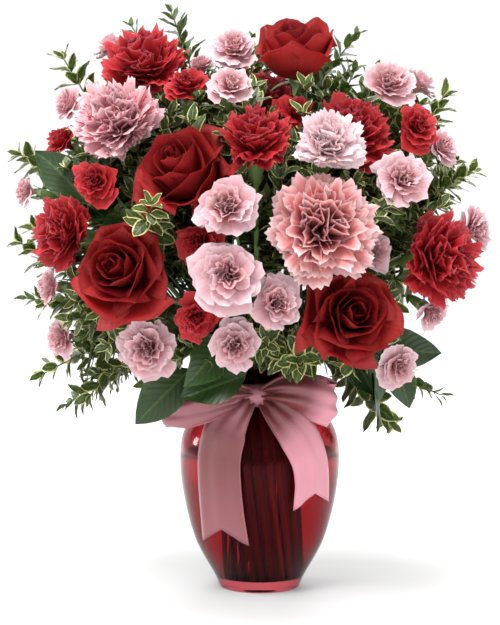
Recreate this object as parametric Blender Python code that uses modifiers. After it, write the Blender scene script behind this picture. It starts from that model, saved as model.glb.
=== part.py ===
"""A vase of roses, carnations and greenery.

The glass vase stands on the origin. Its front, with the bow, faces -Y. Every stem stands on the floor
of the vase, passes straight through the water and the neck, and fans out to its flower or sprig.
"""

import math

import bmesh
import bpy
import numpy as np
from mathutils.bvhtree import BVHTree

MM = 0.001
GAP = 0.3 * MM

# Vase: outer profile as (radius, height) from the lip down to the foot.
VASE_OUTER = np.array([
    (38.0, 184.0), (33.4, 173.0), (33.0, 159.0), (49.0, 147.0), (61.0, 135.0), (66.4, 114.0),
    (64.0, 80.0), (54.0, 41.0), (37.5, 10.0), (33.0, 0.0),
]) * MM
GLASS = 3.0 * MM
FLOOR_HEIGHT = 9.0 * MM
FLOOR_RADIUS = 31.0 * MM
WATER_LINE = 112.0 * MM
VASE_SIDES = 24

# Bundle of stems inside the vase.
NECK_BUNDLE = 26.0 * MM
FLOOR_BUNDLE = 26.5 * MM
BUNDLE_TOP = 190.0 * MM
BUNDLE_TWIST = math.radians(55.0)
BUNDLE_SPACING = 0.275
STEM_CLEARANCE = 2.9 * MM
HOLE_CLEARANCE = 0.5 * MM

# Dome that the flowers sit on.
DOME_HALF_WIDTH = 205.0 * MM
DOME_HALF_HEIGHT = 168.0 * MM
DOME_DEPTH = 150.0 * MM
BACK_DEPTH = 108.0 * MM
DOME_HEIGHT = 300.0 * MM

# The flowers are placed as they are seen from the front at this distance and eye height.
VIEW_DISTANCE = 1600.0 * MM
EYE_HEIGHT = 360.0 * MM

STEM_RADIUS = {"rose": 2.6 * MM, "carnation": 2.0 * MM, "mini": 1.8 * MM, "sprig": 1.4 * MM}
TWIG_RADIUS = 1.1 * MM

# Each flower head: across and up as seen from the front, set-back from the dome, width (all in mm),
# and where it looks, as (azimuth, elevation) in degrees or None for straight out of the dome.
ROSES = {
    "rose_left": [(-118, 265, 0, 80, (-16, 14))],
    "rose_right": [(78, 229, 0, 78, (10, 12))],
    "rose_upper_left": [(-64, 350, 22, 88, (-25, 38))],
    "rose_top": [(25, 434, 48, 62, (-5, 72))],
    "rose_back_left": [(-75, 300, None, 76, None)],
    "rose_back_right": [(60, 345, None, 76, None)],
}
RED_CARNATIONS = {
    "red_carnation_upper_left": [(-95, 434, 15, 72, (-12, 45))],
    "red_carnation_upper_right": [(76, 384, 30, 74, (12, 40))],
    "red_carnation_right": [(152, 273, 0, 78, (42, 5))],
    "red_carnation_left": [(-164, 294, 0, 62, (-45, 8))],
    "red_carnation_centre": [(-8, 372, 10, 64, (0, 55))],
    "red_carnation_high": [(8, 412, 78, 58, (0, 55))],
    "red_carnation_back_top": [(-20, 410, None, 70, None)],
    "red_carnation_back_low": [(75, 240, None, 72, None)],
}
PINK_CARNATIONS = {
    "pink_carnation_left": [(-114, 384, 10, 78, (-18, 30))],
    "pink_carnation_middle": [(52, 308, 0, 92, (8, 16))],
    "pink_carnation_pale": [(58, 362, 8, 60, (5, 32))],
    "pink_carnation_back": [(-10, 245, None, 74, None)],
}
PINK_SPRAYS = {
    "pink_spray_upper_left": [
        (-121, 446, 25, 36, None), (-158, 396, 10, 36, (-60, 25)), (-193, 329, 20, 32, None)],
    "pink_spray_top": [
        (-22, 446, 20, 44, (0, 45)), (-24, 415, 10, 40, (5, 40)), (-49, 431, 60, 32, None)],
    "pink_spray_upper_right": [
        (102, 412, 15, 50, (5, 35)), (130, 417, 45, 40, None), (147, 367, 20, 36, None),
        (117, 338, 0, 50, (15, 20))],
    "pink_spray_centre": [
        (-28, 315, -4, 56, (-8, 18)), (-27, 261, -10, 60, (-4, 10)), (14, 236, 0, 48, (10, 12)),
        (-21, 201, 0, 45, (-4, -4))],
    "pink_spray_right": [
        (177, 296, 15, 44, (60, 10)), (92, 277, 25, 44, (15, 15)), (142, 228, 10, 36, None),
        (115, 184, 0, 38, (30, -12))],
    "pink_spray_lower_left": [
        (-93, 198, 0, 54, (-12, 2)), (-164, 207, 10, 38, (-50, -5)), (-174, 250, 20, 36, (-70, 5))],
    "pink_spray_back_left": [
        (-150, 335, None, 44, None), (-125, 245, None, 46, None)],
    "pink_spray_back_right": [
        (130, 360, None, 46, None), (0, 320, None, 50, None)],
}
RED_SPRAYS = {
    "red_spray_left": [(-135, 337, 10, 46, (-20, 12)), (-162, 374, 30, 38, None)],
    "red_spray_middle": [(-52, 225, 18, 42, (-8, -2)), (-50, 288, 32, 46, None)],
    "red_spray_top": [(-60, 415, 20, 42, (0, 55)), (36, 392, 45, 38, None), (126, 379, 20, 44, (20, 25))],
    "red_spray_back": [(-85, 385, None, 42, None), (25, 275, None, 42, None), (140, 285, None, 42, None)],
}
# Each sprig: its kind of leaf, and the tips of its twigs as (across, up, set-back).
SPRIGS = {
    "pittosporum_left": ("whorled", [(-89, 317, -6), (-160, 436, 35), (-196, 358, 40)]),
    "pittosporum_right": ("whorled", [(107, 320, 2), (172, 345, 25), (150, 405, 50)]),
    "pittosporum_low_front": ("whorled", [(32, 188, 14), (108, 138, 40), (70, 176, 20)]),
    "pittosporum_low_left": ("whorled", [(-178, 178, 20), (-140, 160, 30), (-196, 285, 25)]),
    "myrtle_top": ("alternate", [(-72, 474, 60), (-104, 462, 60), (78, 455, 70)]),
    "myrtle_side": ("alternate", [(-192, 240, 45), (150, 160, 55), (-160, 152, 60)]),
    "broad_leaf_left": ("broad", [(-142, 318, 45), (-72, 182, 35), (-20, 192, 30)]),
    "broad_leaf_right": ("broad", [(104, 198, 45), (88, 182, 50), (96, 288, 35)]),
    "greens_back": ("broad", [(-78, 215, None), (85, 285, None), (20, 196, None), (-50, 345, None)]),
}
# Each kind of leaf: its size, how far apart its whorls stand, and the leaves of each whorl from the tip.
LEAVES = {
    "whorled": {"length": 27.0 * MM, "width": 12.0 * MM, "spacing": 24.0 * MM, "whorls": (5, 3)},
    "alternate": {"length": 19.0 * MM, "width": 8.5 * MM, "spacing": 14.0 * MM, "whorls": (4, 3)},
    "broad": {"length": 66.0 * MM, "width": 38.0 * MM, "spacing": 40.0 * MM, "whorls": (2,)},
}
BLADE_THICKNESS = 0.9 * MM
# How a leaf may turn and shrink to find room: (share of its rise or spread, size).
WHORL_TRIES = ((0.35, 1.0), (0.6, 1.0), (0.75, 0.9), (0.6, 0.7), (0.8, 0.6))
BROAD_TRIES = ((0.8, 1.0), (0.3, 1.0), (1.3, 0.9), (0.1, 0.9), (0.6, 0.75), (0.1, 0.65))
BROAD_DROOP = 0.16
GOLDEN_TURN = math.radians(137.5)

# Neighbours up to this size are stems and calyxes, which don't give way to a bloom.
FIRM_SIZE = 14.0 * MM
SEPAL_ROOM = 8.0 * MM
# Out to this distance from the axis a stem stays above the vase's lip.
LIP_ROOM = 62.0 * MM
# The room that the bow takes, as balls of (x, y, z, radius) in mm that the stems keep out of.
BOW_ROOM = [
    (-2, -43, 164, 17), (-18, -56, 158, 12), (18, -58, 160, 14), (-30, -58, 166, 14),
    (-60, -54, 163, 16), (30, -60, 168, 16), (50, -58, 172, 25),
]

# Ribbon: the band round the neck, the knot, and the middle lines of the loops and tails in mm.
RIBBON_THICKNESS = 1.2 * MM
BAND_LOW, BAND_HIGH = 160.5 * MM, 172.5 * MM
NECK_RADIUS = 33.6 * MM
BAND_OUTSIDE = 35.4 * MM
KNOT_MIDDLE = (-2 * MM, -43 * MM, 164 * MM)
KNOT_HALF_SIZE = (13 * MM, 8.5 * MM, 9 * MM)
LOOP_WIDTHS = (12 * MM, 32 * MM)
# Each loop: its points as (x, y, z), and the way across the ribbon.
LOOPS = {
    "loop_left": (
        [(-4, -44, 167), (-26, -58, 174), (-56, -58, 172), (-76, -44, 164), (-80, -40, 157),
         (-72, -46, 152), (-50, -60, 154), (-24, -60, 158), (-4, -45, 161)], (0.1, 0.35, 1.0)),
    "loop_right": (
        [(0, -44, 167), (22, -58, 178), (44, -60, 180), (62, -48, 172), (69, -42, 158),
         (62, -48, 147), (42, -63, 148), (20, -62, 155), (0, -45, 161)], (0.0, -0.5, 1.0)),
}
# Each tail: its points as (x, height, distance from the axis), and its start width, width and notch.
TAILS = {
    "tail_left": (
        [(-7, 163, 46), (-17, 157, 58), (-24, 149, 65), (-29, 137, 69.5), (-31, 116, 71),
         (-31, 96, 70), (-31, 75, 66.5), (-31, 52, 61)], (12, 40, 14)),
    "tail_right": (
        [(2, 162, 46), (14, 156, 58), (24, 147, 66.5), (31, 134, 71), (36, 118, 72.5),
         (40, 102, 71.5), (44, 84, 69.5)], (12, 34, 12)),
}

# Flower proportions, as parts of the bloom's half width: height of the bloom's middle above its base.
BLOOM_MIDDLE = 0.62
BLOOM_REACH = {"rose": 1.12, "carnation": 1.10, "mini": 1.10}
CALYX_LENGTH = {"rose": 12.0 * MM, "carnation": 26.0 * MM, "mini": 17.0 * MM}
CALYX_MOUTH = {"rose": 5.0 * MM, "carnation": 6.5 * MM, "mini": 4.6 * MM}
# A rose's sepals reach out to the tips and in to the notches, and hang this far under the bloom.
SEPAL_TIP = (19 * MM, 5.5 * MM)
SEPAL_NOTCH = (6.0 * MM, 1.6 * MM)

# The rings of each bloom from its base to its top, in parts of its half width:
# radius, height, number of lobes, their depth, their lift, and the turn of the first one.
CARNATION_RINGS = [
    (0.15, 0.008, 0, 0.0, 0.0, 0.0), (1.0, 0.50, 6, 0.09, 0.08, 0.0),
    (0.68, 0.60, 6, 0.05, 0.03, 0.0), (0.84, 0.86, 6, 0.10, 0.08, math.pi),
    (0.48, 0.76, 6, 0.05, 0.02, math.pi), (0.56, 1.06, 6, 0.14, 0.07, 0.0),
    (0.24, 0.90, 6, 0.05, 0.02, 0.0), (0.27, 1.16, 6, 0.16, 0.05, math.pi),
]
CARNATION_POLES = (0.008, 1.02)
MINI_RINGS = [
    (1.0, 0.48, 4, 0.10, 0.09, 0.0), (0.60, 0.66, 4, 0.05, 0.03, 0.0), (0.62, 1.04, 4, 0.16, 0.08, math.pi),
]
MINI_POLES = (-0.12, 0.84)
ROSE_RINGS = [
    (0.15, 0.008, 0, 0.0, 0.0, 0.0), (0.60, 0.24, 4, 0.03, 0.0, 0.6), (1.0, 0.70, 4, 0.08, -0.08, 0.6),
    (0.72, 0.72, 4, 0.03, -0.02, 0.6), (0.80, 1.00, 4, 0.07, -0.07, 3.7), (0.56, 0.78, 4, 0.03, 0.0, 3.7),
    (0.55, 1.16, 3, 0.07, 0.04, 1.2), (0.37, 0.86, 3, 0.03, 0.0, 1.2), (0.30, 1.20, 3, 0.10, 0.04, 3.9),
    (0.16, 0.98, 0, 0.0, 0.0, 0.0),
]
ROSE_POLES = (0.008, 1.2)
BLOOM_SIDES = 12
MINI_SIDES = 8

COLOURS = {
    "glass": (0.42, 0.01, 0.03, 1.0, 0.05), "water": (0.55, 0.10, 0.10, 1.0, 0.05),
    "ribbon": (0.78, 0.33, 0.38, 1.0, 0.35), "rose": (0.33, 0.005, 0.015, 1.0, 0.6),
    "red": (0.62, 0.01, 0.04, 1.0, 0.6), "pink": (0.90, 0.52, 0.56, 1.0, 0.6),
    "stem": (0.16, 0.30, 0.09, 1.0, 0.5), "leaf": (0.07, 0.16, 0.05, 1.0, 0.45),
}

PATH_SAMPLES = 22
STEM_PICKS = [0, 7, 14, 21]
TWIG_PICKS = [0, 7, 14, 21]
BRANCH_PICKS = [0, 10, 21]

# How often the heads, the bundle and the paths are moved apart, and by how much of an overlap at a time.
HEAD_ROUNDS = 260
BUNDLE_ROUNDS = 1500
SMOOTH_ROUNDS = 260
STRAIGHT_ROUNDS = 520
HEAD_PUSH = 0.3
HEAD_PULL = 0.02
BUNDLE_PUSH = 0.4
STEM_PUSH = 0.35
BALL_PUSH = 0.4
STRAIGHT_PUSH = 1.6
SMOOTHING = 0.25
# A bloom, the upper and the lower part of a calyx keep this much room, and give way by these shares.
BLOOM_FIRMNESS = 0.86
CALYX_ROOM = (2.5 * MM, 1.5 * MM)
GIVE_WAY = (0.4, 1.0, 0.4)
SEED = 11


def unit(vectors):
    """Vectors scaled to length one."""
    return vectors / np.maximum(np.linalg.norm(vectors, axis=-1, keepdims=True), 1e-12)


def aim(azimuth, elevation):
    """The direction that looks out at an azimuth (0 is the front, 90 the right) and an elevation."""
    a, e = math.radians(azimuth), math.radians(elevation)
    return np.array([math.sin(a) * math.cos(e), -math.cos(a) * math.cos(e), math.sin(e)])


def on_dome(across, up, set_back):
    """A point of the dome given as seen from the front; a set-back of None puts it on the back."""
    x, z = across * MM, up * MM
    inside = 1.0 - (x / DOME_HALF_WIDTH) ** 2 - ((z - DOME_HEIGHT) / DOME_HALF_HEIGHT) ** 2
    swell = math.sqrt(max(inside, 0.02))
    if set_back is None:
        return np.array([x, BACK_DEPTH * swell, z])
    y = set_back * MM - DOME_DEPTH * swell
    nearer = (VIEW_DISTANCE + y) / VIEW_DISTANCE
    return np.array([x * nearer, y, EYE_HEIGHT + (z - EYE_HEIGHT) * nearer])


def outward(point):
    """The dome's outward normal at a point."""
    sizes = np.array([DOME_HALF_WIDTH, DOME_DEPTH, DOME_HALF_HEIGHT])
    return unit((point - np.array([0.0, 0.0, DOME_HEIGHT])) / sizes ** 2)


def across_axes(direction):
    """Two unit vectors square to a direction and to each other."""
    aside = unit(np.cross(direction, [0.0, 0.0, 1.0]) + np.array([1e-9, 0.0, 0.0]))
    return aside, np.cross(direction, aside)


def read_flowers():
    """Every flower head as a dictionary, and the heads of each plant."""
    heads, plants = [], {}
    tables = [
        (ROSES, "rose", "rose"), (RED_CARNATIONS, "carnation", "red"),
        (PINK_CARNATIONS, "carnation", "pink"), (PINK_SPRAYS, "mini", "pink"), (RED_SPRAYS, "mini", "red"),
    ]
    for table, kind, colour in tables:
        for plant, rows in table.items():
            plants[plant] = {"kind": kind, "colour": colour, "heads": []}
            for across, up, set_back, width, look in rows:
                centre = on_dome(across, up, set_back)
                facing = aim(*look) if look else outward(centre)
                plants[plant]["heads"].append(len(heads))
                heads.append({
                    "plant": plant, "kind": kind, "target": centre, "facing": facing,
                    "radius": 0.5 * width * MM,
                })
    return heads, plants


def relax_heads(heads):
    """Moves the heads apart, mostly in depth, until their blooms only press lightly on each other."""
    target = np.array([h["target"] for h in heads])
    facing = np.array([h["facing"] for h in heads])
    radius = np.array([h["radius"] for h in heads])
    calyx = np.array([CALYX_LENGTH[h["kind"]] for h in heads])
    mouth = np.array([CALYX_MOUTH[h["kind"]] for h in heads])
    count = len(heads)
    owner = np.concatenate([np.arange(count)] * 3)
    reach = np.concatenate([BLOOM_FIRMNESS * radius, mouth + CALYX_ROOM[0], mouth + CALYX_ROOM[1]])
    behind = np.concatenate(
        [0.0 * radius, BLOOM_MIDDLE * radius + 0.3 * calyx, BLOOM_MIDDLE * radius + calyx])
    ease = np.array(GIVE_WAY)
    centre = target.copy()
    for _ in range(HEAD_ROUNDS):
        balls = centre[owner] - facing[owner] * behind[:, None]
        apart = balls[:, None, :] - balls[None, :, :]
        distance = np.linalg.norm(apart, axis=2) + 1e-9
        overlap = reach[:, None] + reach[None, :] - distance
        overlap[owner[:, None] == owner[None, :]] = 0.0
        push = np.maximum(overlap, 0.0)[:, :, None] * apart / distance[:, :, None]
        move = np.zeros_like(centre)
        np.add.at(move, owner, HEAD_PUSH * push.sum(axis=1))
        centre += move * ease + HEAD_PULL * (target - centre)
    for head, place in zip(heads, centre):
        head["centre"] = place
        head["base"] = place - head["facing"] * BLOOM_MIDDLE * head["radius"]
        head["foot"] = head["base"] - head["facing"] * CALYX_LENGTH[head["kind"]]


def bundle_places(ends):
    """A place in the unit disc for each stem, ordered as the ends lie round the vase and evenly apart."""
    flat = np.array([[e[0], e[1]] for e in ends])
    flat = flat / np.abs(flat).max()
    places = flat * 0.9
    for _ in range(BUNDLE_ROUNDS):
        apart = places[:, None, :] - places[None, :, :]
        distance = np.linalg.norm(apart, axis=2) + 1e-9
        np.fill_diagonal(distance, 9.0)
        overlap = np.maximum(BUNDLE_SPACING * 1.03 - distance, 0.0)
        push = overlap[:, :, None] * apart / distance[:, :, None]
        places = places + BUNDLE_PUSH * push.sum(axis=1)
        size = np.linalg.norm(places, axis=1, keepdims=True)
        places = np.where(size > 1.0, places / size, places)
    return places


def bundle_point(place, height):
    """Where a stem of the bundle is at a height in the vase: the stems lean like a twisted sheaf."""
    share = (height - FLOOR_HEIGHT) / (BUNDLE_TOP - FLOOR_HEIGHT)
    c, s = math.cos(BUNDLE_TWIST), math.sin(BUNDLE_TWIST)
    turn = np.array([[c, -s], [s, c]])
    low, high = turn @ place * FLOOR_BUNDLE, place * NECK_BUNDLE
    return np.array([*(low + (high - low) * share), height])


def bend(start, start_way, end, end_way, count, reach=0.36):
    """A smooth curve from start to end that leaves and arrives along the two given ways."""
    length = np.linalg.norm(end - start)
    a, d = start, end
    b, c = start + unit(start_way) * reach * length, end - unit(end_way) * reach * length
    t = np.linspace(0.0, 1.0, count)[:, None]
    return a * (1 - t) ** 3 + 3 * b * t * (1 - t) ** 2 + 3 * c * t ** 2 * (1 - t) + d * t ** 3


def lay_paths(heads, plants):
    """The course of every stem and twig above the vase, as lists of points."""
    ends = []
    for plant in plants.values():
        if plant["heads"]:
            plant["ends"] = [heads[i]["foot"] for i in plant["heads"]]
            plant["ways"] = [heads[i]["facing"] for i in plant["heads"]]
        ends.append(np.mean(plant["ends"], axis=0))
    places = bundle_places(ends)
    paths = []
    for plant, place, end in zip(plants.values(), places, ends):
        plant["place"] = place
        start = bundle_point(place, BUNDLE_TOP)
        lean = start - bundle_point(place, BUNDLE_TOP - 30 * MM)
        aside = unit(end - start) * np.array([1.0, 1.0, 0.0])
        leave = unit(unit(lean) + 0.35 * aside + np.array([0.0, 0.0, 0.5]))
        plant["paths"] = []
        radius = STEM_RADIUS[plant["kind"]]
        if len(plant["ends"]) == 1:
            course = bend(start, leave, plant["ends"][0], plant["ways"][0], PATH_SAMPLES)
            courses = [(course, radius, STEM_PICKS)]
        else:
            fork = start + (end - start) * 0.42 + np.array([0.0, 0.0, 12 * MM])
            trunk = bend(start, leave, fork, unit(end - start), PATH_SAMPLES)
            courses = [(trunk, radius, STEM_PICKS)]
            for tip, way in zip(plant["ends"], plant["ways"]):
                first = unit(unit(end - start) + 0.9 * unit(tip - fork))
                picks = BRANCH_PICKS if plant["heads"] else TWIG_PICKS
                courses.append((bend(fork, first, tip, way, PATH_SAMPLES), TWIG_RADIUS, picks))
        for course, size, picks in courses:
            plant["paths"].append(len(paths))
            paths.append({"points": course, "radius": size, "picks": picks, "plant": plant})
    return paths


def chord_weights(picks):
    """The weights that put a path's samples on the straight runs between its picked points."""
    steps = np.arange(PATH_SAMPLES)
    return np.stack([np.interp(steps, picks, row) for row in np.eye(len(picks))], axis=1)


def relax_paths(paths, heads, straight):
    """Bends the stems clear of each other, of the blooms and of the vase's lip.

    When straight is true every path is first laid on the few straight runs that its tube is built of,
    and only the corners between the runs move.
    """
    points = np.array([p["points"] for p in paths])
    if straight:
        weights = [chord_weights(p["picks"]) for p in paths]
        points = np.array([w @ line[p["picks"]] for w, line, p in zip(weights, points, paths)])
        inner = [w[:, 1:-1] for w in weights]
        settle = np.array([w @ np.linalg.pinv(w) for w in inner])
    count, samples = points.shape[:2]
    radius = np.repeat([p["radius"] for p in paths], samples)
    names = {id(p["plant"]): i for i, p in enumerate(paths)}
    plant = np.repeat([names[id(p["plant"])] for p in paths], samples)
    fixed = np.zeros((count, samples), bool)
    fixed[:, 0] = fixed[:, -1] = True
    centre = np.array([h["centre"] for h in heads])
    size = np.array([0.92 * h["radius"] for h in heads])
    head_plant = np.array([names[id(h["owner"])] for h in heads])
    hips = np.array([h["base"] - 0.5 * (h["base"] - h["foot"]) for h in heads])
    hip_size = np.array([0.6 * CALYX_LENGTH[h["kind"]] for h in heads])
    bow = np.array(BOW_ROOM) * MM
    balls = np.concatenate([centre, hips, bow[:, :3]])
    ball_size = np.concatenate([size, hip_size, bow[:, 3]])
    ball_plant = np.concatenate([head_plant, head_plant, np.full(len(bow), -1)])
    for turn in range(STRAIGHT_ROUNDS if straight else SMOOTH_ROUNDS):
        flat = points.reshape(-1, 3)
        if turn % 20 == 0:
            near = np.linalg.norm(flat[:, None] - flat[None], axis=2) < 16 * MM
            near &= plant[:, None] != plant[None, :]
            one, other = np.nonzero(np.triu(near))
            close = np.linalg.norm(flat[:, None] - balls[None], axis=2) < ball_size + 20 * MM
            close &= plant[:, None] != ball_plant[None, :]
            spot, ball = np.nonzero(close)
        move = np.zeros_like(flat)
        apart = flat[one] - flat[other]
        distance = np.linalg.norm(apart, axis=1) + 1e-9
        overlap = np.maximum(radius[one] + radius[other] + STEM_CLEARANCE - distance, 0.0)
        push = STEM_PUSH * (overlap / distance)[:, None] * apart
        np.add.at(move, one, push)
        np.add.at(move, other, -push)
        away = flat[spot] - balls[ball]
        reach = np.linalg.norm(away, axis=1) + 1e-9
        overlap = np.maximum(radius[spot] + ball_size[ball] + 1.5 * MM - reach, 0.0)
        np.add.at(move, spot, BALL_PUSH * (overlap / reach)[:, None] * away)
        across = np.linalg.norm(flat[:, :2], axis=1)
        over_lip = (across > NECK_BUNDLE) & (across < LIP_ROOM)
        move[:, 2] += 0.5 * np.maximum(BUNDLE_TOP + 2 * MM - flat[:, 2], 0.0) * over_lip
        move = move.reshape(count, samples, 3)
        move[fixed] = 0.0
        if straight:
            points = points + STRAIGHT_PUSH * settle @ move
            continue
        points = points + move
        smoother = 0.5 * (points[:, :-2] + points[:, 2:]) - points[:, 1:-1]
        points[:, 1:-1] += SMOOTHING * smoother
    for path, line in zip(paths, points):
        path["points"] = line


def make_material(name):
    """The plain material of a colour's name, made on first use."""
    red, green, blue, alpha, roughness = COLOURS[name]
    material = bpy.data.materials.get(name) or bpy.data.materials.new(name)
    material.use_nodes = True
    shader = material.node_tree.nodes["Principled BSDF"]
    shader.inputs["Base Color"].default_value = (red, green, blue, alpha)
    shader.inputs["Roughness"].default_value = roughness
    return material


def make_object(name, vertices, faces, colour, collection):
    """A mesh object from vertices and faces."""
    mesh = bpy.data.meshes.new(name)
    mesh.from_pydata([tuple(v) for v in vertices], [], [tuple(int(i) for i in f) for f in faces])
    mesh.validate()
    thing = bpy.data.objects.new(name, mesh)
    thing.data.materials.append(make_material(colour))
    collection.objects.link(thing)
    return thing


def baked(thing, colour, collection, weld=0.001 * MM):
    """A plain mesh object of what a curve or modified object shows, which it takes the place of."""
    bpy.context.view_layer.update()
    seen = thing.evaluated_get(bpy.context.evaluated_depsgraph_get())
    mesh = bpy.data.meshes.new_from_object(seen)
    edit = bmesh.new()
    edit.from_mesh(mesh)
    bmesh.ops.remove_doubles(edit, verts=edit.verts, dist=weld)
    edit.to_mesh(mesh)
    edit.free()
    mesh.materials.clear()
    mesh.materials.append(make_material(colour))
    name = thing.name
    place = thing.matrix_world.copy()
    bpy.data.objects.remove(thing)
    new = bpy.data.objects.new(name, mesh)
    new.matrix_world = place
    collection.objects.link(new)
    return new


def tube(name, points, radii, colour, collection, sides=6):
    """A round stem through the points, with its own radius at each."""
    curve = bpy.data.curves.new(name, "CURVE")
    curve.dimensions = "3D"
    curve.bevel_depth = 1.0 * MM
    curve.bevel_resolution = (sides - 4) // 2
    curve.use_fill_caps = True
    line = curve.splines.new("POLY")
    line.points.add(len(points) - 1)
    for spot, place, radius in zip(line.points, points, radii):
        spot.co = (*place, 1.0)
        spot.radius = radius / MM
    thing = bpy.data.objects.new(name, curve)
    collection.objects.link(thing)
    return baked(thing, colour, collection)


def turned(name, profile, colour, collection, sides):
    """A turned solid whose closed profile of (radius, height) runs down the outside."""
    mesh = bpy.data.meshes.new(name)
    count = len(profile)
    mesh.from_pydata([(r, 0.0, z) for r, z in profile], [(i, i + 1) for i in range(count - 1)], [])
    thing = bpy.data.objects.new(name, mesh)
    collection.objects.link(thing)
    turn = thing.modifiers.new("turn", "SCREW")
    turn.steps = turn.render_steps = sides
    turn.use_merge_vertices = True
    turn.merge_threshold = 0.00001
    turn.use_smooth_shade = False
    return baked(thing, colour, collection)


def join(name, things, colour, collection, solver="MANIFOLD"):
    """One solid from several that run into each other."""
    first, rest = things[0], things[1:]
    group = bpy.data.collections.new(name + "_pieces")
    bpy.context.scene.collection.children.link(group)
    for thing in rest:
        for home in thing.users_collection:
            home.objects.unlink(thing)
        group.objects.link(thing)
    cut = first.modifiers.new("join", "BOOLEAN")
    cut.operation = "UNION"
    cut.solver = solver
    cut.operand_type = "COLLECTION"
    cut.collection = group
    whole = baked(first, colour, collection, 0.00001 * MM)
    for thing in list(group.objects):
        bpy.data.objects.remove(thing)
    bpy.data.collections.remove(group)
    whole.name = name
    keep_outside(whole.data)
    return whole


def keep_outside(mesh):
    """Drops loose scraps and sealed hollows: only the shell that reaches furthest stays."""
    edit = bmesh.new()
    edit.from_mesh(mesh)
    bmesh.ops.triangulate(edit, faces=edit.faces)
    left, shells = set(edit.verts), []
    while left:
        shell, edge = set(), [left.pop()]
        while edge:
            spot = edge.pop()
            shell.add(spot)
            for side in spot.link_edges:
                other = side.other_vert(spot)
                if other in left:
                    left.discard(other)
                    edge.append(other)
        shells.append(shell)
    largest = max(shells, key=len)
    stray = [v for shell in shells if shell is not largest for v in shell]
    bmesh.ops.delete(edit, geom=stray, context="VERTS")
    edit.to_mesh(mesh)
    edit.free()


def ring_faces(rings, sides, falling):
    """Triangles of a closed body of rings with a pole at each end; falling rows split the other way."""
    faces = []
    bottom, top = rings * sides, rings * sides + 1
    for j in range(sides):
        k = (j + 1) % sides
        faces.append((bottom, k, j))
        last = (rings - 1) * sides
        faces.append((top, last + j, last + k))
        for i in range(rings - 1):
            a, b = i * sides + j, i * sides + k
            c, d = a + sides, b + sides
            if falling[i]:
                faces += [(a, b, c), (b, d, c)]
            else:
                faces += [(a, b, d), (a, d, c)]
    return faces


def place_bloom(local, head, phase):
    """Turns a bloom's own shape to where its head is and looks."""
    aside, upward = across_axes(head["facing"])
    c, s = math.cos(phase), math.sin(phase)
    x = local[:, 0:1] * c - local[:, 1:2] * s
    y = local[:, 0:1] * s + local[:, 1:2] * c
    return head["base"] + (x * aside + y * upward + local[:, 2:3] * head["facing"]) * head["radius"]


def ring_points(table, sides, rng):
    """A bloom's rings: each row has radius, height, lobes, lobe depth, lobe lift and phase."""
    angle = np.arange(sides) / sides * 2 * math.pi
    rings = []
    for radius, height, lobes, depth, lift, phase in table:
        wave = np.cos(lobes * angle + phase)
        jitter = 1.0 + 0.03 * rng.standard_normal(sides) * (depth > 0)
        r = radius * (1 + depth * wave) * jitter
        rings.append(np.stack([r * np.cos(angle), r * np.sin(angle), height + lift * wave], axis=1))
    return np.concatenate(rings)


def bloom_shape(table, poles, sides, falling, rng):
    """A bloom's corners and faces from its rings and the heights of its two poles."""
    ends = [[0, 0, height] for height in poles]
    vertices = np.concatenate([ring_points(table, sides, rng), ends])
    return vertices, ring_faces(len(table), sides, falling)


def carnation_shape(rng):
    """Four frilled tiers of pleated petals, with the deep folds between them."""
    falling = [False, True, False, True, False, True, False]
    return bloom_shape(CARNATION_RINGS, CARNATION_POLES, BLOOM_SIDES, falling, rng)


def mini_shape(rng):
    """Two frilled tiers of a spray carnation round a dimple; its pointed base sinks into its calyx."""
    return bloom_shape(MINI_RINGS, MINI_POLES, MINI_SIDES, [True, False], rng)


def rose_shape(rng):
    """Nested cups of petals: the outer ones flare and curl, the inner ones wind up to the bud."""
    falling = [False, False, True, False, True, False, True, False, True]
    return bloom_shape(ROSE_RINGS, ROSE_POLES, BLOOM_SIDES, falling, rng)


def press_into_cell(vertices, head, obstacles):
    """Presses a bloom's outer petals in where its neighbours and passing stems touch it.

    Along each ray from the bloom's middle the outer part is squeezed to end at the nearest of the
    planes that part the bloom from its neighbours, so the layers of petals keep their order.
    """
    centre = head["centre"]
    ray = vertices - centre
    length = np.linalg.norm(ray, axis=1)
    reach, nominal = length.max(), BLOOM_REACH[head["kind"]] * head["radius"]
    way = ray / np.maximum(length, 1e-9)[:, None]
    limit = np.full(len(vertices), 10.0)
    for place, size in obstacles:
        apart = place - centre
        distance = np.linalg.norm(apart)
        if distance > reach + size:
            continue
        plane = distance - size
        if size > FIRM_SIZE:
            plane = min((distance ** 2 + nominal ** 2 - size ** 2) / (2 * distance), distance - 0.2 * size)
        plane = max(plane, 0.2 * reach) - 0.7 * MM
        along = way @ (apart / distance)
        limit = np.minimum(limit, np.where(along > 1e-3, plane / np.maximum(along, 1e-3), 10.0))
    free = 0.35 * np.minimum(limit, reach)
    squeezed = free + (length - free) * (limit - free) / (reach - free)
    length = np.where((limit < reach) & (length > free), np.minimum(length, squeezed), length)
    return centre + way * length[:, None]


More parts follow.
